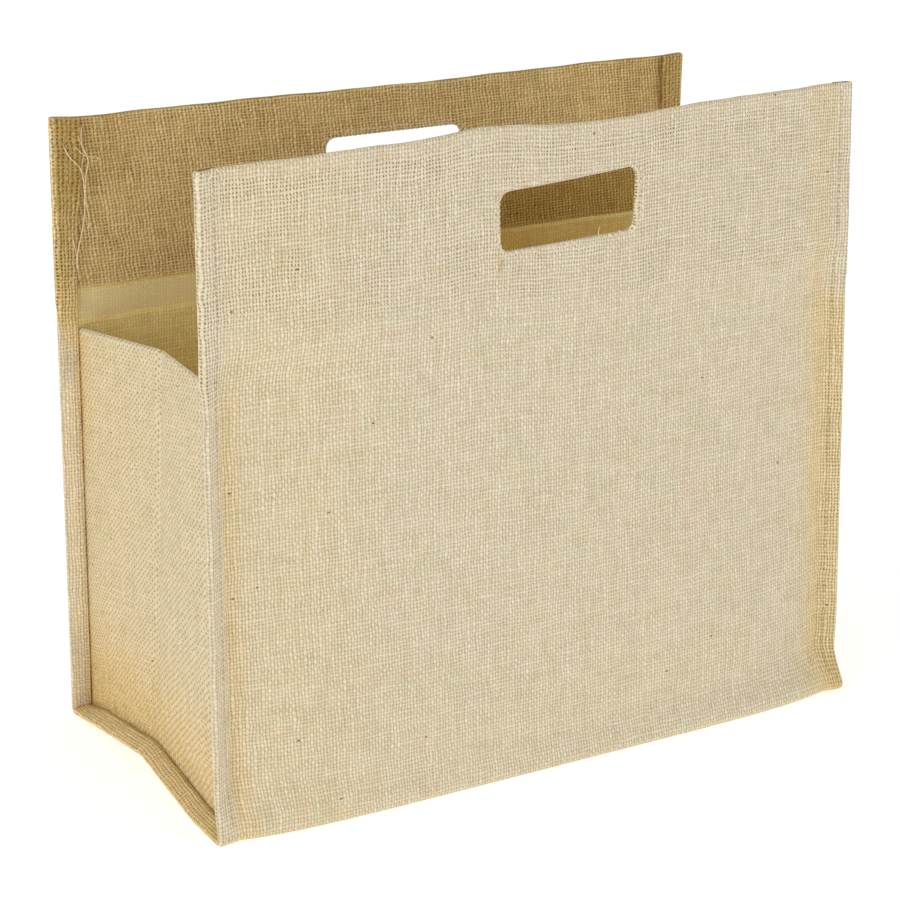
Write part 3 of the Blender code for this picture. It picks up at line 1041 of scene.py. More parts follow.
def make_finishes() -> dict[Finish, bpy.types.Material]:
    """Build the shared groups and every finish.

    Returns:
        The materials by finish.
    """
    WeaveGroup().build()
    BlotchGroup().build()
    film = {"film": True, "roughness": 0.55, "relief": 0.15 * MM, "gap_colour": rgb(0.55, 0.42, 0.14),
            "shade": rgb(0.80, 0.72, 0.52)}
    # Film yarns brighter than cloth can reflect: painted light on the bag's inside.
    cream = {"yarn_light": rgb(1.12, 0.98, 0.50), "yarn_dark": rgb(0.90, 0.735, 0.315)}
    warm = {"yarn_light": rgb(0.84, 0.725, 0.505), "yarn_dark": rgb(0.68, 0.56, 0.36), "weft_shade": 0.20,
            "slant": 0.62, "pitch": (2.24 * MM, 2.15 * MM), "yarn_width": (0.40, 0.36)}
    recipes = [
        JuteFinish(Finish.BODY.value),
        JuteFinish(Finish.BODY_FILM.value, **cream, **film),
        JuteFinish(Finish.GUSSET.value, **warm),
        JuteFinish(Finish.GUSSET_FILM.value, **cream, **film),
        ThreadFinish(Finish.THREAD.value),
        # Seam thread darker than the rest, partly painted shade for its rows inside the bag.
        ThreadFinish(Finish.SEAM.value, rgb(0.46, 0.35, 0.18), rgb(0.66, 0.53, 0.31)),
        ThreadFinish(Finish.YARN.value, rgb(0.70, 0.60, 0.42), rgb(0.86, 0.76, 0.57)),
        ThreadFinish(Finish.PALE.value, rgb(0.82, 0.74, 0.50), rgb(0.98, 0.93, 0.72)),
        ThreadFinish(Finish.STAINED.value, rgb(0.66, 0.45, 0.20), rgb(0.80, 0.62, 0.36)),
        ThreadFinish(Finish.BARK.value, rgb(0.12, 0.05, 0.03), rgb(0.30, 0.15, 0.09)),
    ]
    return {Finish(recipe.name): recipe.build() for recipe in recipes}


def add_wall(piece: bpy.types.Object, thickness: float, outer: bpy.types.Material,
             inner: bpy.types.Material) -> None:
    """Give a one-sided sheet its thickness, with another finish on its inner face.

    Args:
        piece: the sheet.
        thickness: the wall's thickness.
        outer: finish of its outer face.
        inner: finish of its inner face.
    """
    piece.data.materials.append(outer)
    piece.data.materials.append(inner)
    wall = piece.modifiers.new("cloth", "SOLIDIFY")
    wall.thickness = thickness
    wall.offset = 0.0
    wall.use_even_offset = False
    wall.material_offset = 1


# ------------------------------------------------------------------------------------------ body
@dataclass
class BodyStrip:
    """Front, base and back in one folded strip, with its facings, hems and hand holes."""

    shape: BagShape
    finishes: dict
    panel_columns: int = 88
    leg_rows: int = 60
    facing_rows: int = 24
    base_rows: int = 40
    facing_stretch: tuple = (0.82, 1.15)
    facing_skew: float = 0.12
    front_facing: tuple = (0.085, 0.103)
    film_band: float = 0.022
    # The hems' painted shade above the gusset tops: where it begins and how far it runs; then how high the
    # back hem grows browner towards its foot.
    brown_start: float = 0.20
    brown_run: float = 0.075
    foot_browning: float = 0.07
    flange_top: float = 0.238
    corner_width: float = 1.6 * MM
    hole_radius: float = 6.0 * MM
    hole_drop_back: float = 8.5 * MM
    cutter_reach: float = 0.040
    hole_corners: dict = field(default_factory=lambda: {
        "bottom_left": (-0.0390, 0.3040), "bottom_right": (0.0505, 0.3055),
        "top_right": (0.0525, 0.3418), "top_left": (-0.0390, 0.3370)})

    def rows(self) -> list[tuple[float, float, float]]:
        """(v, facing offset, place along the flat cloth) from the front facing's raw edge to the back's.

        Returns:
            One entry for each row of points.
        """
        s = self.shape
        turn = s.layer / 2
        angles = spread(0.0, math.pi, 6)[1:-1]
        front_facing = [(v, s.layer, -math.pi * turn - v)
                        for v in spread(s.facing_depth, 0.0, self.facing_rows)]
        front_fold = [(-turn * math.sin(a), turn + turn * math.cos(a), -turn * (math.pi - a)) for a in angles]
        legs = spread(0.0, s.facing_depth, self.facing_rows)
        legs += spread(s.facing_depth, s.front_end, self.leg_rows)[1:]
        legs += spread(s.front_end, s.front_turn_end, 6)[1:]
        legs += spread(s.front_turn_end, s.base_end, self.base_rows)[1:]
        legs += spread(s.base_end, s.back_turn_end, 6)[1:]
        legs += spread(s.back_turn_end, s.strip_end - s.facing_depth, self.leg_rows)[1:]
        legs += spread(s.strip_end - s.facing_depth, s.strip_end, self.facing_rows)[1:]
        single = [(v, 0.0, v) for v in legs]
        back_fold = [(s.strip_end + turn * math.sin(a), turn - turn * math.cos(a), s.strip_end + turn * a)
                     for a in angles]
        back_facing = [(v, s.layer, s.strip_end + math.pi * turn + s.strip_end - v)
                       for v in spread(s.strip_end, s.strip_end - s.facing_depth, self.facing_rows)]
        return front_facing + front_fold + single + back_fold + back_facing

    def columns(self) -> list[tuple[str, int, float]]:
        """(kind, side, share) from the left hem's raw edge to the right one's.

        Returns:
            One entry for each column of points.
        """
        side = [("hem", share) for share in spread(0.0, 1.0, 4)]
        side += [("fold", share) for share in spread(1.0, 0.0, 8)[1:-1]]
        side += [("flange", share) for share in spread(1.0, 0.0, 4)[:-1]]
        left = [(kind, -1, share) for kind, share in side]
        right = [(kind, 1, share) for kind, share in reversed(side)]
        even = np.linspace(-1.0, 1.0, self.panel_columns + 1)
        panel = [("panel", 1, share) for share in 0.6 * even + 0.4 * np.sin(even * math.pi / 2)]
        return left + panel + right

    def column(self, kind: str, side: int, share: float, v: np.ndarray,
               facing: np.ndarray) -> tuple[np.ndarray, float]:
        """One column of the folded strip, and its place across the flat cloth.

        Args:
            kind: hem, fold, flange or panel.
            side: -1 for the left, 1 for the right.
            share: place across that part.
            v: distances along the strip from the front's top edge.
            facing: how far inward of the single cloth each row lies.

        Returns:
            The column's points, and its distance from the cloth's middle.
        """
        s = self.shape
        stack = s.hem_stack(v)
        turn = stack / 2 - facing
        if kind == "panel":
            return s.place(share * s.seam_u, v, facing), share * s.seam_u
        if kind == "flange":
            u = side * mix(s.seam_u, s.tip_u, share)
            return s.place(u, v, facing), u
        if kind == "fold":
            angle = math.pi * share
            u = side * (s.tip_u + turn * math.sin(angle))
            return s.place(u, v, stack / 2 - turn * math.cos(angle)), side * (s.tip_u + s.layer * angle)
        u = mix(s.raw_edge(v), s.tip_u, share)
        flat = s.tip_u + s.layer * math.pi + (1 - share) * (s.tip_u - s.seam_u - s.hem_edge)
        return s.place(side * u, v, stack - facing), side * flat

    def zone(self, kind: str, side: int, share: float, v: np.ndarray, facing: np.ndarray) -> np.ndarray:
        """How much browner one column's cloth is, mostly painted shade, with painted light on the film below
        0, and how open its gaps look, row by row.

        Args:
            kind: hem, fold, flange or panel.
            side: -1 for the left, 1 for the right.
            share: place across that part.
            v: distances along the strip from the front's top edge.
            facing: how far inward of the single cloth each row lies.

        Returns:
            Two values for each row.
        """
        s = self.shape
        height = s.leg_height(v)
        front = v < s.front_turn_end
        if kind == "hem":
            # Hems: painted shade above the gusset tops, deeper near the top edge.
            upper = smooth_step((height - self.brown_start) / self.brown_run)
            # Painted light, paler, below the gusset tops; the back hem grows browner towards its foot.
            paling_and_browning = np.where(front, -0.06, 0.18 * smooth_step((self.foot_browning - height) / 0.05) - 0.06)
            # Painted shade on the base's hems.
            brown_and_shade = mix(np.where(height < 0.001, 0.46, paling_and_browning), 0.76, upper)
            brown_and_shade = brown_and_shade + 0.1 * smooth_step((height - 0.29) / 0.04)
            # Painted shade at the two bottom corners, and a darker raw edge, partly its own colour and partly
            # painted shadow of the raised edge.
            corners = hump(v, s.front_end + s.turn_length / 2, self.corner_width)
            corners = corners + hump(v, s.base_end + s.turn_length / 2, self.corner_width)
            brown_and_shade = brown_and_shade + 0.55 * (share < 0.1) * (1 - upper) + 0.5 * corners
            return np.stack([brown_and_shade, mix(0.05, 0.85, upper) + 0.1 * (height < 0.001)], axis=-1)
        if kind in ("flange", "fold"):
            right = 0.5 * (side + 1)
            top = smooth_step((height - self.flange_top) / 0.014)
            # The back's flanges a little browner, with painted shade on their folds above the gusset tops and
            # on the base; painted shade on the front's right flange below its gusset top; all flanges browner
            # near the floor.
            rim = 0.2 + 0.4 * top * (kind == "fold") + 0.2 * (height < 0.001)
            # Painted shade that tones down the brightly lit left fold of the front above the gusset top.
            white = 0.14 * (1 - right) * top * (kind == "fold")
            brown_and_shade = np.where(front, 0.33 * right * (1 - top) + white, rim) + 0.1 * hump(height, 0.0, 0.03)
            return np.stack([brown_and_shade, mix(0.10, 0.85, right) + mix(0.75, -0.15, right) * top], axis=-1)
        turned = smooth_step((facing / s.layer - 0.3) / 0.5)
        reach = mix(*self.front_facing, 0.5 * (share + 1)) * front + s.facing_depth * (1 - front)
        end = np.where(front, v, s.strip_end - v)
        layers = smooth_step((reach - end) / (3 * MM))
        layers = layers * (0.72 + 0.28 * hump(end, 0.012, 0.006) * (1 - turned))
        layers = layers * mix(0.25, 1.0, np.maximum(turned, smooth_step((end - 0.004) / 0.004)))
        # Painted shade in the creases by the front's seams, below the gusset tops.
        crease = smooth_step((abs(share) - 0.93) / 0.05) * (0.14 if share < 0 else 0.12)
        crease = crease * smooth_step((0.27 - height) / 0.04)
        # Painted shade on the inside facings, deeper on the back facing towards its right and lower down, and
        # near the top corners.
        dim = smooth_step((share + 0.1) / 0.6) * smooth_step((end - 0.035) / 0.045) * (1 - front)
        # Browner towards the front's left side, and painted shade by its right edge, where the cloth turns
        # away.
        warm = 0.16 * smooth_step((-0.35 - share) / 0.5) + 0.20 * smooth_step((share - 0.82) / 0.16)
        ends = 0.14 * smooth_step((abs(share) - 0.7) / 0.2) * smooth_step((0.06 - end) / 0.03)
        brown_and_shade = np.maximum((0.6 + 0.35 * dim + ends) * turned, (crease + warm) * front)
        past = end - s.facing_depth
        below = smooth_step(past / (2 * MM)) * (1 - turned) * (1 - front)
        # Painted light on the film's lit band just below the back facing, strongest at the left.
        film_light = below * smooth_step((self.film_band - past) / 0.006)
        brown_and_shade = brown_and_shade - 0.5 * film_light * mix(1.0, 0.1, smooth_step((share + 0.75) / 0.5))
        # Painted shade on the film below the lit band, towards the right.
        shaded = below * smooth_step((share + 0.2) / 0.5)
        return np.stack([brown_and_shade, np.maximum(layers, 2.2 * crease) - shaded], axis=-1)

    def sheet(self) -> bpy.types.Mesh:
        """The folded strip, one-sided.

        Returns:
            The mesh.
        """
        v, facing, along = np.array(self.rows()).T
        points, across, zones = [], [], []
        for kind, side, share in self.columns():
            column, flat = self.column(kind, side, share, v, facing)
            points.append(column)
            across.append(flat)
            zones.append(self.zone(kind, side, share, v, facing))
        end = np.minimum(v, self.shape.strip_end - v)[:, None]
        turned = (facing > 0.9 * self.shape.layer)[:, None]
        across, along = np.broadcast_arrays(np.array(across)[None, :], along[:, None])
        across = np.where(turned, self.facing_stretch[0] * (across - self.facing_skew * end), across)
        along = along + np.where(turned, np.copysign(self.facing_stretch[1] - 1, v - 0.1)[:, None] * end, 0.0)
        cloth = np.stack([across, along], axis=-1)
        return grid_mesh("body", np.stack(points, axis=1), cloth, np.stack(zones, axis=1))

    def outline(self, drop: float = 0.0, grow: float = 0.0, level: bool = False,
                steps: int = 6) -> np.ndarray:
        """A hand hole's outline in X and Z, with rounded corners, counter-clockwise from the front.

        Args:
            drop: how far it is lowered.
            grow: how far it is widened all round.
            level: whether its upper edge is level.
            steps: points on each corner's arc, less one.

        Returns:
            The outline's points.
        """
        order = ("bottom_left", "bottom_right", "top_right", "top_left")
        corners = [list(self.hole_corners[key]) for key in order]
        if level:
            corners[3][1] = corners[2][1]
        middle = np.mean(corners, axis=0)
        points = []
        for i, corner in enumerate(corners):
            here = np.array(corner) + grow * np.sign(np.array(corner) - middle)
            before = np.array(corners[i - 1]) + grow * np.sign(np.array(corners[i - 1]) - middle)
            after = np.array(corners[(i + 1) % 4]) + grow * np.sign(np.array(corners[(i + 1) % 4]) - middle)
            back, ahead = unit(before - here), unit(after - here)
            half = math.acos(float(np.clip(back @ ahead, -1, 1))) / 2
            radius = self.hole_radius + grow
            centre = here + unit(back + ahead) * radius / math.sin(half)
            start = unit(here + back * radius / math.tan(half) - centre)
            end = unit(here + ahead * radius / math.tan(half) - centre)
            angle = math.acos(float(np.clip(start @ end, -1, 1)))
            for k in range(steps + 1):
                t = k / steps
                way = (math.sin((1 - t) * angle) * start + math.sin(t * angle) * end) / math.sin(angle)
                points.append(centre + way * radius)
        return np.array(points) - (0.0, drop)

    def cutter(self, near: float, far: float, drop: float, level: bool) -> bpy.types.Object:
        """A block with a hand hole's outline.

        Args:
            near: its front face's Y.
            far: its back face's Y.
            drop: how far it is lowered.
            level: whether its upper edge is level.

        Returns:
            The block.
        """
        outline = self.outline(drop, 0.0, level)
        mesh = bpy.data.meshes.new("hole")
        block = bmesh.new()
        front = [block.verts.new((x, near, z)) for x, z in outline]
        back = [block.verts.new((x, far, z)) for x, z in outline]
        block.faces.new(front)
        block.faces.new(list(reversed(back)))
        for i in range(len(front)):
            ahead = (i + 1) % len(front)
            block.faces.new((front[ahead], front[i], back[i], back[ahead]))
        bmesh.ops.recalc_face_normals(block, faces=block.faces)
        block.to_mesh(mesh)
        block.free()
        return add_piece("hole", mesh)

    def build(self) -> bpy.types.Object:
        """The body as one closed piece of cloth.

        Returns:
            The body.
        """
        piece = add_piece("jute_body", self.sheet())
        add_wall(piece, self.shape.cloth, self.finishes[Finish.BODY], self.finishes[Finish.BODY_FILM])
        near, far = self.shape.half_depth - self.cutter_reach, self.shape.half_depth + self.cutter_reach
        cutters = [self.cutter(-far, -near, 0.0, False), self.cutter(near, far, self.hole_drop_back, True)]
        for cutter in cutters:
            cut = piece.modifiers.new("hole", "BOOLEAN")
            cut.operation = "DIFFERENCE"
            cut.solver = "EXACT"
            cut.object = cutter
        freeze(piece)
        for cutter in cutters:
            bpy.data.objects.remove(cutter)
        smooth(piece.data)
        return piece


@dataclass
class HoleEdge:
    """The turned edge of a hand hole, which covers the ends of the layers."""

    strip: BodyStrip
    finishes: dict
    thickness: float = 2.7 * MM
    bulge: float = 0.75 * MM
    right_bulge: float = 1.9 * MM
    right_start: float = 0.046
    under_start: float = 0.316
    twist: float = 0.16 * MM
    twist_pitch: float = 3.2 * MM
    step: float = 0.6 * MM
    sides: int = 12

    def ring(self, front: bool, grow: float, steps: int = 6) -> tuple[np.ndarray, np.ndarray, np.ndarray]:
        """Points round a hand hole on the cloth's middle surface.

        Args:
            front: the front hole or the back one.
            grow: how far outside the hole's outline.
            steps: points on each corner's arc, less one.

        Returns:
            Points, directions into the bag, and directions towards the hole's middle.
        """
        s = self.strip.shape
        drop = 0.0 if front else self.strip.hole_drop_back
        outline = self.strip.outline(drop, grow, not front, steps)
        dense = []
        for here, ahead in zip(outline, np.roll(outline, -1, axis=0)):
            count = max(1, int(np.linalg.norm(ahead - here) / self.step))
            dense += [mix(here, ahead, k / count) for k in range(count)]
        outline = np.array(dense)
        x, z = outline.T
        u, v = s.spot(x, z, front)
        middle = np.array([x.mean(), z.mean()])
        tangent = unit(np.roll(outline, -1, axis=0) - np.roll(outline, 1, axis=0))
        side = np.stack([-tangent[:, 1], tangent[:, 0]], axis=1)
        side *= np.sign(((middle - outline) * side).sum(axis=1))[:, None]
        towards = np.stack([side[:, 0], 0 * x, side[:, 1]], axis=1)
        return s.surface(u, v), s.inward(u, v), towards

    def build(self, name: str, front: bool) -> bpy.types.Object:
        """One edge as a closed ring of cloth.

        Args:
            name: the name it gets.
            front: whether it lines the front's hole.

        Returns:
            The edge.
        """
        line, inward, towards = self.ring(front, 0.0, 3)
        lengths = np.linalg.norm(np.roll(line, -1, axis=0) - line, axis=1)
        along = np.concatenate([[0.0], np.cumsum(lengths)])
        turns = round(along[-1] / self.twist_pitch)
        right = smooth_step((line[:, 0] - self.right_start) / 0.005) * front
        under = smooth_step((self.under_start - line[:, 2]) / 0.006) * front
        bulge = mix(self.bulge, self.right_bulge, np.maximum(right, 0.45 * under))
        middle = self.strip.shape.layer / 2
        rows = []
        for k in range(self.sides + 1):
            angle = 2 * math.pi * k / self.sides
            ply = self.twist * np.sin(2 * math.pi * turns * along[:-1] / along[-1] + 2 * angle)
            depth = middle + (self.thickness / 2 + ply) * math.cos(angle)
            reach = (bulge + ply) * math.sin(angle) - 0.25 * MM
            rows.append(line + inward * depth[:, None] + towards * reach[:, None])
        points = np.stack(rows, axis=0)
        points = np.concatenate([points, points[:, :1]], axis=1)
        around = np.linspace(0.0, 7.0 * MM, self.sides + 1)
        cloth = np.stack(np.broadcast_arrays(along[None, :], around[:, None]), axis=-1)
        dots = np.append(right, right[0])
        zones = np.stack([0.12 * dots, mix(0.1, 1.0, dots)], axis=-1)
        mesh = grid_mesh(name, points, cloth, np.broadcast_to(zones, cloth.shape).copy())
        close_up(mesh)
        mesh.materials.append(self.finishes[Finish.BODY])
        smooth(mesh, 60.0)
        return add_piece(name, mesh)


# --------------------------------------------------------------------------------------- gussets
@dataclass
class Gusset:
    """A side panel with its middle fold, the edges that the flange grips and a top hem inside."""

    shape: BagShape
    finishes: dict
    side: int
    front_top: float = 0.2500
    middle_top: float = 0.2460
    back_top: float = 0.2390
    top_fold: float = 0.0135
    hem: float = 0.026
    front_tuck: float = 0.040
    front_skew: float = 0.036
    flat_width: float = 0.200
    flat_height: float = 0.245
    leg_rows: int = 60
    base_rows: int = 46

    @property
    def name(self) -> str:
        """The piece's name."""
        return "jute_gusset_left" if self.side < 0 else "jute_gusset_right"

    def stations(self) -> np.ndarray:
        """Places v down the front flange, under the base and up the back flange.

        Returns:
            The places.
        """
        s = self.shape
        top = s.front_end + s.fold_radius - self.front_top
        line = spread(top, s.front_end, self.leg_rows) + spread(s.front_end, s.front_turn_end, 4)[1:]
        line += spread(s.front_turn_end, s.base_end, self.base_rows)[1:]
        line += spread(s.base_end, s.back_turn_end, 4)[1:]
        line += spread(s.back_turn_end, s.back_turn_end + self.back_top - s.fold_radius, self.leg_rows)[1:]
        return np.array(line)

    def top_line(self, start: np.ndarray, end: np.ndarray, shares: np.ndarray) -> np.ndarray:
        """The top edge, folded in at its middle.

        Args:
            start: its front end.
            end: its back end.
            shares: shares of the way along it.

        Returns:
            Its points.
        """
        middle = np.array([self.side * (abs(start[0]) - self.top_fold), 0.0, self.middle_top])
        reach = 1 - np.abs(2 * shares - 1)
        rounded = reach - 0.03 * np.exp(-((1 - reach) / 0.06) ** 2)
        ends = np.where((shares < 0.5)[:, None], start, end)
        return ends + (middle - ends) * rounded[:, None]

    def panel(self) -> tuple[np.ndarray, np.ndarray, int]:
        """The panel's points and flat places from the bottom up, and its top row's number.

        Returns:
            Points, flat places and the top row's number.
        """
        s = self.shape
        v = self.stations()
        border = s.place(self.side * (s.seam_u + 0.4 * MM), v, np.full_like(v, 1.6 * s.layer))
        up = self.leg_rows + 2
        left, right, bottom = border[up::-1], border[-up - 1:], border[up:len(border) - up]
        over, rise = self.shares(bottom), self.shares(left)
        top = self.top_line(left[-1], right[-1], over)
        a, t = over[None, :, None], rise[:, None, None]
        sides = mix(left[:, None], right[:, None], a)
        ends = mix(bottom[None], top[None], t)
        corners = mix(mix(left[0], right[0], a), mix(left[-1], right[-1], a), t)
        points = sides + ends - corners
        points[..., 0] += self.side * self.billow(a[..., 0], t[..., 0])
        ahead = np.maximum(0.5 - over, 0.0)[None, :]
        wide = over[None, :] * self.flat_width + self.front_tuck * ahead
        high = rise[:, None] * self.flat_height - self.front_skew * ahead
        return points, np.stack(np.broadcast_arrays(wide, high), axis=-1) + self.flat_start(), up

    def hem_line(self) -> np.ndarray:
        """The line across the outer face along which the top hem is sewn.

        Returns:
            The line's points.
        """
        points = self.panel()[0]
        row = round((len(points) - 1) * (1 - (self.hem - 3 * MM) / self.middle_top))
        return points[row, 2:-2] + (self.side * self.shape.cloth / 2, 0.0, 0.0)

    def billow(self, over: np.ndarray, rise: np.ndarray) -> np.ndarray:
        """How far the cloth stands out between its middle fold and its seams.

        Args:
            over: shares of the way from front to back.
            rise: shares of the height.

        Returns:
            The distances.
        """
        half = np.abs(np.sin(2 * math.pi * over))
        edge = np.sin(math.pi * np.clip(rise, 0, 1)) ** 0.7
        crease = -2.2 * MM * np.exp(-((over - 0.5) / 0.035) ** 2) * smooth_step(rise / 0.25)
        return (1.3 * MM * half + 0.4 * MM * np.sin(13 * over + 7 * rise) * half) * edge + crease * (1 - rise)

    def flat_start(self) -> float:
        """Where the flat cloth begins, so that the two gussets' weaves differ."""
        return 0.7 if self.side > 0 else 0.4

    def zone(self, spot: np.ndarray) -> tuple[float, float]:
        """How much browner the cloth is, towards its back half, its bottom and the back seam's top, and how
        open its gaps look.

        Args:
            spot: a place on the flat cloth.

        Returns:
            The two values, as the zone map holds them.
        """
        rise = (spot[1] - self.flat_start()) / self.flat_height
        low = float(smooth_step((0.35 - rise) / 0.35))
        back = float(np.clip((spot[0] - self.flat_start()) / self.flat_width, 0.0, 1.0))
        band = float(smooth_step((rise - 1 + self.hem / self.flat_height) / 0.01))
        rim = 1 - float(smooth_step((rise - 0.985) / 0.01))
        seam = 0.18 * float(smooth_step((back - 0.9) / 0.1) * smooth_step((rise - 0.6) / 0.2))
        return (0.20 * float(smooth_step(back)) + 0.32 * low + seam) * rim, (0.60 + 0.30 * band) * rim

    @staticmethod
    def shares(line: np.ndarray) -> np.ndarray:
        """Share of a line's length up to each of its points."""
        lengths = np.concatenate([[0.0], np.cumsum(np.linalg.norm(np.diff(line, axis=0), axis=1))])
        return lengths / lengths[-1]

    def build(self) -> bpy.types.Object:
        """The gusset as one closed piece of cloth.

        Returns:
            The gusset.
        """
        s = self.shape
        v = self.stations()
        points, flat, up = self.panel()
        made = bmesh.new()
        cloth, zone = made.loops.layers.uv.new("cloth"), made.loops.layers.uv.new("zone")
        place = {}

        def vertex(point: np.ndarray, spot: np.ndarray) -> bmesh.types.BMVert:
            """A new vertex that remembers its place on the flat cloth.

            Args:
                point: where it is.
                spot: its place on the flat cloth.

            Returns:
                The vertex.
            """
            fresh = made.verts.new(point)
            place[fresh] = spot
            return fresh

        rows = [[vertex(p, f) for p, f in zip(*row)] for row in zip(points, flat)]
        ring = [rows[j][0] for j in range(up, 0, -1)] + rows[0] + [rows[j][-1] for j in range(1, up + 1)]
        strips = [ring]
        for reach in (1.2 * MM, 4.0 * MM, s.flange - 1.5 * s.layer - 0.5 * MM):
            line = s.place(self.side * (s.seam_u + reach), v, np.full_like(v, s.layer))
            strips.insert(0, [vertex(p, place[old] + (0.0, reach)) for p, old in zip(line, ring)])
        turn = s.layer / 2
        top, below = points[-1], points[-2]
        down = unit(below - top)
        hems = [rows[-1][1:-1]]
        falls = [(fall, s.layer) for fall in (0.0, 2 * MM, self.hem / 2, self.hem)]
        for fall, inward in [(-turn, turn)] + falls:
            line = top + down * fall + np.array([-self.side * inward, 0.0, 0.0])
            rise = flat[-1] + (0.0, turn * 2 + fall)
            hems.append([vertex(p, f) for p, f in zip(line[1:-1], rise[1:-1])])
        for lines in (rows, strips, hems):
            for upper, lower in zip(lines, lines[1:]):
                for i in range(len(upper) - 1):
                    face = made.faces.new((upper[i], upper[i + 1], lower[i + 1], lower[i]))
                    for loop in face.loops:
                        loop[cloth].uv = place[loop.vert]
                        loop[zone].uv = self.zone(place[loop.vert])
        bmesh.ops.recalc_face_normals(made, faces=made.faces)
        made.verts.ensure_lookup_table()
        outward = sum(face.normal.x * self.side for face in rows[up // 2][len(rows[0]) // 4].link_faces)
        if outward < 0:
            bmesh.ops.reverse_faces(made, faces=made.faces)
        mesh = bpy.data.meshes.new(self.name)
        made.to_mesh(mesh)
        made.free()
        piece = add_piece(self.name, mesh)
        add_wall(piece, s.cloth, self.finishes[Finish.GUSSET], self.finishes[Finish.GUSSET_FILM])
        freeze(piece)
        smooth(piece.data)
        return piece


# ------------------------------------------------------------------------- stitches and threads
class StitchTree:
    """Geometry Nodes that lay one stitch after another along the lines of a mesh."""

    name = "stitch_rows"

    def build(self) -> bpy.types.NodeTree:
        """Make the tree, with the stitches' pitch, length, width, seed and finish as inputs.

        Returns:
            The tree.
        """
        tree = bpy.data.node_groups.new(self.name, "GeometryNodeTree")
        tree.interface.new_socket(name="Lines", in_out="INPUT", socket_type="NodeSocketGeometry")
        for label, value in (("Pitch", 3.6 * MM), ("Length", 2.9 * MM), ("Width", 0.8 * MM)):
            made = tree.interface.new_socket(name=label, in_out="INPUT", socket_type="NodeSocketFloat")
            made.default_value = value
        tree.interface.new_socket(name="Seed", in_out="INPUT", socket_type="NodeSocketInt").default_value = 7
        tree.interface.new_socket(name="Finish", in_out="INPUT", socket_type="NodeSocketMaterial")
        tree.interface.new_socket(name="Stitches", in_out="OUTPUT", socket_type="NodeSocketGeometry")
        g = Graph(tree)
        given = g.node("NodeGroupInput").outputs
        curve = self.step(g, "GeometryNodeMeshToCurve", {"Mesh": given["Lines"]})
        even = g.node("GeometryNodeResampleCurve", mode="LENGTH")
        g.feed(even.inputs["Curve"], curve)
        g.feed(even.inputs["Length"], given["Pitch"])
        stitch = self.step(g, "GeometryNodeMeshUVSphere", {"Segments": 8, "Rings": 5, "Radius": 0.5})
        turn = g.node("FunctionNodeAlignRotationToVector", axis="X")
        g.feed(turn.inputs["Vector"], g.node("GeometryNodeInputTangent").outputs[0])
        uneven = g.node("FunctionNodeRandomValue", data_type="FLOAT")
        uneven.inputs[2].default_value, uneven.inputs[3].default_value = 0.8, 1.1
        g.feed(uneven.inputs["Seed"], given["Seed"])
        length = g.math("MULTIPLY", given["Length"], uneven.outputs[1])
        size = g.combine(length, given["Width"], given["Width"])
        placed = self.step(g, "GeometryNodeInstanceOnPoints", {"Points": even.outputs[0], "Instance": stitch,
                                                               "Rotation": turn.outputs[0], "Scale": size})
        whole = self.step(g, "GeometryNodeRealizeInstances", {"Geometry": placed})
        whole = self.step(g, "GeometryNodeSetMaterial", {"Geometry": whole, "Material": given["Finish"]})
        g.feed(g.node("NodeGroupOutput").inputs[0], whole)
        return tree

    def step(self, g: Graph, kind: str, inputs: dict[str, Value]) -> Socket:
        """A node with its inputs fed, and its first output.

        Args:
            g: the graph to build in.
            kind: the node's type.
            inputs: what goes into its inputs, by name.

        Returns:
            The output's socket.
        """
        made = g.node(kind)
        for label, value in inputs.items():
            g.feed(made.inputs[label], value)
        return made.outputs[0]


@dataclass
class Stitches:
    """Rows of stitches that hold a seam, a hem or a turned edge."""

    finishes: dict
    tree: bpy.types.NodeTree
    pitch: float = 3.6 * MM
    length: float = 2.9 * MM
    width: float = 0.8 * MM

    def build(self, name: str, lines: list[np.ndarray], finish: Finish) -> bpy.types.Object:
        """One piece with a stitch row along each of its lines.

        Args:
            name: the name it gets.
            lines: the lines that the stitches follow.
            finish: the thread's finish.

        Returns:
            The piece.
        """
        mesh = bpy.data.meshes.new(name)
        edges, count = [], 0
        for line in lines:
            edges += [(count + i, count + i + 1) for i in range(len(line) - 1)]
            count += len(line)
        mesh.from_pydata(np.concatenate(lines).tolist(), edges, [])
        piece = add_piece(name, mesh)
        rows = piece.modifiers.new("rows", "NODES")
        rows.node_group = self.tree
        values = {"Pitch": self.pitch, "Length": self.length, "Width": self.width, "Seed": 7,
                  "Finish": self.finishes[finish]}
        for item in self.tree.interface.items_tree:
            if item.name in values:
                rows[item.identifier] = values[item.name]
        freeze(piece)
        piece.data.shade_smooth()
        return piece


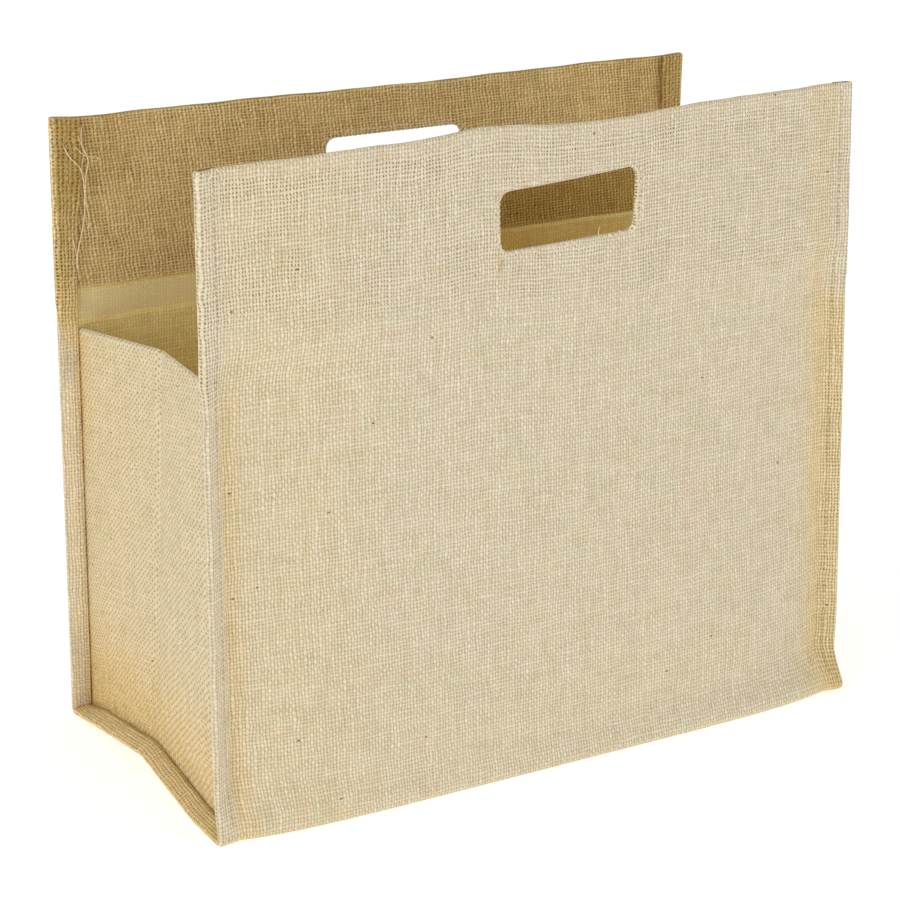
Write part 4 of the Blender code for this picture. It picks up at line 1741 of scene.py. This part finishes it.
@dataclass
class StitchPlan:
    """Where the bag is sewn."""

    shape: BagShape
    strip: BodyStrip
    edge: HoleEdge
    from_rim: float = 2.6 * MM
    from_seam: float = 5.0 * MM
    from_end: float = 4 * MM
    from_turn: float = 6 * MM
    spacing: float = 1.5 * MM

    def round_hole(self, front: bool) -> list[np.ndarray]:
        """One row round a hand hole on each face of the cloth.

        Args:
            front: whether it is the front's hole.

        Returns:
            The rows' lines.
        """
        points, inward, _ = self.edge.ring(front, self.from_rim)
        faces = (-self.shape.cloth / 2, self.shape.layer + self.shape.cloth / 2)
        return [np.concatenate([row, row[:1]]) for row in (points + inward * depth for depth in faces)]

    def along_seam(self, side: int) -> list[np.ndarray]:
        """Rows down a side seam: on the hem all round, and outside on the front and the back.

        Args:
            side: -1 for the left, 1 for the right.

        Returns:
            The rows' lines.
        """
        s = self.shape
        v = np.arange(self.from_end, s.strip_end - self.from_end, self.spacing)
        u = side * (s.seam_u + self.from_seam)
        legs = [v[v < s.front_end - self.from_turn], v[v > s.back_turn_end + self.from_turn]]
        outside = [s.place(u, leg, np.full_like(leg, -s.cloth / 2)) for leg in legs]
        return [*outside, s.place(u, v, s.hem_stack(v) + s.cloth / 2)]


class Bend(NamedTuple):
    """A place on a thread, in millimetres: from the bag's left edge, below the top edge, off the cloth."""

    across: float
    down: float
    lift: float


@dataclass
class Thread:
    """One loose thread."""

    bends: list
    front: bool
    finish: Finish = Finish.THREAD
    radius: float = 0.38 * MM


def smooth_path(points: np.ndarray, steps: int = 8) -> np.ndarray:
    """A smooth line through the points.

    Args:
        points: the points it passes.
        steps: points made for each stretch.

    Returns:
        The line's points.
    """
    padded = np.concatenate([2 * points[:1] - points[1:2], points, 2 * points[-1:] - points[-2:-1]])
    t = np.linspace(0.0, 1.0, steps, endpoint=False)[:, None]
    pieces = []
    for a, b, c, d in zip(padded, padded[1:], padded[2:], padded[3:]):
        square, cube = 2 * a - 5 * b + 4 * c - d, 3 * b - a - 3 * c + d
        pieces.append(0.5 * (2 * b + (c - a) * t + square * t**2 + cube * t**3))
    return np.concatenate([*pieces, points[-1:]])


def tube(path: np.ndarray, radius: float, start: int, sides: int = 6) -> tuple[np.ndarray, list[tuple]]:
    """Points and faces of a closed tube that thins towards its ends.

    Args:
        path: points along its middle.
        radius: its radius.
        start: number of its first point in the mesh.
        sides: how many faces it has round it.

    Returns:
        The points and the faces.
    """
    along = unit(np.gradient(path, axis=0))
    side = unit(np.cross(along, (0.37, 0.81, 0.45)))
    other = np.cross(along, side)
    share = np.linspace(0.0, 1.0, len(path))
    size = radius * (0.35 + 0.65 * np.minimum(1.0, 8 * np.minimum(share, 1 - share)))
    angle = 2 * math.pi * np.arange(sides) / sides
    ring = np.cos(angle)[None, :, None] * side[:, None] + np.sin(angle)[None, :, None] * other[:, None]
    points = (path[:, None] + ring * size[:, None, None]).reshape(-1, 3)
    faces = [tuple(start + i * sides + k for k in range(sides)) for i in (0, len(path) - 1)]
    for i in range(len(path) - 1):
        for k in range(sides):
            a, b = start + i * sides + k, start + i * sides + (k + 1) % sides
            faces.append((a, b, b + sides, a + sides))
    return points, faces


@dataclass
class Threads:
    """Yarn ends that have come loose at the corners and round the hand hole."""

    shape: BagShape
    finishes: dict
    threads: list = field(default_factory=lambda: [
        Thread([Bend(6.5, 12.5, 0.2), Bend(10.5, 21.0, 0.9), Bend(16.0, 29.5, 0.8), Bend(17.6, 46.0, 0.5),
                Bend(16.0, 60.0, 0.8), Bend(13.0, 78.0, 0.6), Bend(13.5, 92.0, 0.2)], False),
        Thread([Bend(14.5, 9.0, 0.2), Bend(17.5, 17.0, 1.2), Bend(20.0, 24.0, 1.4), Bend(18.6, 33.0, 0.8),
                Bend(18.2, 46.0, 0.5), Bend(19.6, 57.0, 0.7), Bend(19.0, 66.0, 0.2)], False),
        Thread([Bend(13.5, 15.5, 0.2), Bend(18.5, 21.0, 1.6), Bend(25.5, 22.5, 1.2), Bend(25.5, 24.5, 0.9),
                Bend(21.5, 24.5, 0.5)], False, radius=0.30 * MM),
        Thread([Bend(17.8, 4.0, 0.3), Bend(16.5, 10.0, 0.9), Bend(17.6, 20.0, 0.6), Bend(16.2, 30.0, 0.3)],
               False, radius=0.24 * MM),
        Thread([Bend(10.5, 66.0, 0.2), Bend(12.2, 76.0, 0.8), Bend(12.8, 86.0, 0.2)],
               False, radius=0.20 * MM),
        Thread([Bend(10.8, 0.4, 0.1), Bend(13.2, 2.6, 0.9), Bend(14.6, 7.0, 0.2)], True, Finish.PALE),
        Thread([Bend(13.0, 0.2, 0.1), Bend(15.4, 2.6, 1.0), Bend(16.0, 5.6, 0.7), Bend(15.0, 8.0, 0.1)], True,
               Finish.PALE, 0.24 * MM),
        Thread([Bend(8.8, -0.4, 0.2), Bend(7.8, 3.0, 0.8), Bend(6.0, 6.4, 0.2)],
               True, Finish.PALE, 0.34 * MM),
        Thread([Bend(13.2, 7.0, 0.0), Bend(12.8, 15.0, 0.2), Bend(13.2, 25.0, 0.0)],
               True, Finish.PALE, 0.20 * MM),
        Thread([Bend(174.5, 66.6, 0.0), Bend(173.0, 70.0, 0.2), Bend(170.5, 76.5, 0.0)],
               True, Finish.STAINED),
        Thread([Bend(236.5, 56.5, 0.2), Bend(235.0, 59.5, 0.9), Bend(236.0, 63.5, 0.1)],
               True, Finish.PALE, 0.16 * MM),
        Thread([Bend(248.5, 60.5, 0.6), Bend(250.5, 62.0, 1.1), Bend(253.5, 64.5, 0.1)],
               True, Finish.PALE, 0.16 * MM),
        Thread([Bend(256.0, 62.5, 0.2), Bend(257.5, 59.5, 0.6), Bend(259.5, 60.5, 1.2),
                Bend(257.8, 62.4, 1.0), Bend(256.6, 60.6, 0.6), Bend(258.8, 59.2, 0.3),
                Bend(260.0, 62.4, 0.1)], True, Finish.PALE),
    ])

    def path(self, thread: Thread) -> np.ndarray:
        """A thread's points, on the front's outer face or on the back's inner one.

        Args:
            thread: the thread.

        Returns:
            The points.
        """
        s = self.shape
        across, down, lift = (MM * np.array(column) for column in zip(*thread.bends))
        x = across - s.width / 2
        high = s.front_height if thread.front else s.back_height
        u, v = s.spot(x, high - down, thread.front)
        skin = s.cloth / 2 + thread.radius * 0.6
        depth = -skin - lift if thread.front else s.hem_stack(v) + skin + lift
        return smooth_path(s.place(u, v, depth))

    def build(self) -> list[bpy.types.Object]:
        """One piece for each finish that the threads have.

        Returns:
            The pieces.
        """
        made = []
        for finish in (Finish.THREAD, Finish.PALE, Finish.STAINED):
            points, faces = [], []
            for thread in self.threads:
                if thread.finish is finish:
                    spots, sides = tube(self.path(thread), thread.radius, sum(map(len, points)))
                    points.append(spots)
                    faces += sides
            mesh = bpy.data.meshes.new(f"loose_{finish.value}")
            mesh.from_pydata(np.concatenate(points).tolist(), [], faces)
            close_up(mesh)
            smooth(mesh, 70.0)
            mesh.materials.append(self.finishes[finish])
            made.append(add_piece(mesh.name, mesh))
        return made


@dataclass
class BarkFlecks:
    """Bits of bark caught in the front's yarns."""

    shape: BagShape
    finishes: dict
    size: tuple = (1.5 * MM, 0.35 * MM, 0.8 * MM)
    places: tuple = ((-0.114, 0.223), (0.100, 0.213), (-0.157, 0.3115),
                     (-0.054, 0.295), (-0.080, 0.265), (-0.180, 0.142))
    widths: tuple = (1.0, 0.9, 1.3, 0.8, 0.9, 0.8)

    def build(self) -> bpy.types.Object:
        """All flecks in one piece.

        Returns:
            The piece.
        """
        made = bmesh.new()
        x, z = np.array(self.places).T
        u, v = self.shape.spot(x, z, True)
        outside = self.shape.place(u, v, np.full_like(u, -self.shape.cloth / 2))
        for point, wide in zip(outside, self.widths):
            scale = Matrix.Diagonal((self.size[0] * wide / 2, self.size[1], self.size[2] / 2, 1.0))
            place = Matrix.Translation(point) @ scale
            bmesh.ops.create_icosphere(made, subdivisions=2, radius=1.0, matrix=place)
        mesh = bpy.data.meshes.new("bark_flecks")
        made.to_mesh(mesh)
        made.free()
        mesh.materials.append(self.finishes[Finish.BARK])
        smooth(mesh, 80.0)
        return add_piece(mesh.name, mesh)


# --------------------------------------------------------------------------------- studio, camera
@dataclass
class Studio:
    """A pale floor, soft lights and the camera."""

    camera_place: tuple = (-0.71947, -1.24132, 0.62581)
    camera_aim: tuple = (-0.0068, 0.0, 0.1602)
    camera_roll: float = math.radians(-0.416)
    lens: float = 103.1
    lamp_aim: tuple = (0.0, 0.0, 0.18)
    floor_reach: float = 9.0
    floor_height: float = -0.0002

    def camera(self) -> None:
        """The camera."""
        data = bpy.data.cameras.new("camera")
        data.lens = self.lens
        data.sensor_width = 36.0
        data.clip_start = 0.05
        camera = bpy.data.objects.new("camera", data)
        place = Vector(self.camera_place)
        turn = (Vector(self.camera_aim) - place).to_track_quat("-Z", "Y").to_matrix()
        turn = turn @ Matrix.Rotation(self.camera_roll, 3, "Z")
        camera.matrix_world = Matrix.Translation(place) @ turn.to_4x4()
        bpy.context.scene.collection.objects.link(camera)
        bpy.context.scene.camera = camera

    def lamp(self, name: str, place: tuple, size: float, power: float) -> None:
        """A square soft light that faces the bag.

        Args:
            name: its name.
            place: where it stands.
            size: its side.
            power: its power in watts.
        """
        data = bpy.data.lights.new(name, "AREA")
        data.shape = "SQUARE"
        data.size = size
        data.energy = power
        lamp = bpy.data.objects.new(name, data)
        at = Vector(place)
        turn = (Vector(self.lamp_aim) - at).to_track_quat("-Z", "Y")
        lamp.matrix_world = Matrix.Translation(at) @ turn.to_matrix().to_4x4()
        bpy.context.scene.collection.objects.link(lamp)

    def floor(self) -> bpy.types.Object:
        """The floor.

        Returns:
            The floor's object.
        """
        mesh = bpy.data.meshes.new("floor")
        corners = [(-1, -1), (1, -1), (1, 1), (-1, 1)]
        points = [(self.floor_reach * x, self.floor_reach * y, self.floor_height) for x, y in corners]
        mesh.from_pydata(points, [], [(0, 1, 2, 3)])
        material, _, shader = open_material("floor_white")
        for label, value in {"Base Color": rgb(0.86, 0.86, 0.86), "Roughness": 1.0, "Specular IOR Level": 0.0,
                             "Emission Color": rgb(1, 1, 1), "Emission Strength": 0.50}.items():
            shader.inputs[label].default_value = value
        mesh.materials.append(material)
        return add_piece("floor", mesh)

    def world(self) -> None:
        """An even, dim surround."""
        world = bpy.data.worlds.new("surround")
        world.use_nodes = True
        world.node_tree.nodes["Background"].inputs[0].default_value = rgb(1, 1, 1)
        world.node_tree.nodes["Background"].inputs[1].default_value = 0.60
        bpy.context.scene.world = world

    def build(self) -> bpy.types.Object:
        """Everything around the bag; the floor is returned.

        Returns:
            The floor's object.
        """
        self.camera()
        self.world()
        self.lamp("side_light", (-2.0, -0.8, 0.9), 1.2, 10.0)
        self.lamp("front_light", (1.8, -2.2, 0.65), 1.2, 9.0)
        bpy.context.scene.view_settings.view_transform = "Standard"
        return self.floor()


# ------------------------------------------------------------------------------------------ main
def main() -> None:
    """Build the bag and its surroundings, and say which body each piece rides on."""
    logging.basicConfig(level=logging.INFO, format="%(name)s: %(message)s")
    finishes = make_finishes()
    shape = BagShape()
    strip = BodyStrip(shape, finishes)
    body = strip.build()
    edges = [HoleEdge(strip, finishes).build("front_hole_edge", True),
             HoleEdge(strip, finishes).build("back_hole_edge", False)]
    gussets = [Gusset(shape, finishes, side) for side in (-1, 1)]
    plan = StitchPlan(shape, strip, HoleEdge(strip, finishes))
    sewing = Stitches(finishes, StitchTree().build())
    details = [sewing.build("hole_stitches", plan.round_hole(True) + plan.round_hole(False), Finish.YARN),
               sewing.build("seam_stitches", plan.along_seam(-1) + plan.along_seam(1), Finish.SEAM),
               *Threads(shape, finishes).build(), BarkFlecks(shape, finishes).build()]
    hems = [sewing.build(f"{gusset.name}_hem_stitches", [gusset.hem_line()], Finish.YARN)
            for gusset in gussets]
    gussets = [gusset.build() for gusset in gussets]
    floor = Studio().build()

    for piece in [body, *edges, *gussets, *details, *hems]:
        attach(piece, "root")
        LOG.info("%s: %d faces", piece.name, len(piece.data.polygons))
    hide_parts("body")
    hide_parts("gusset_left")
    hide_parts("gusset_right")


if __name__ == "__main__":
    main()
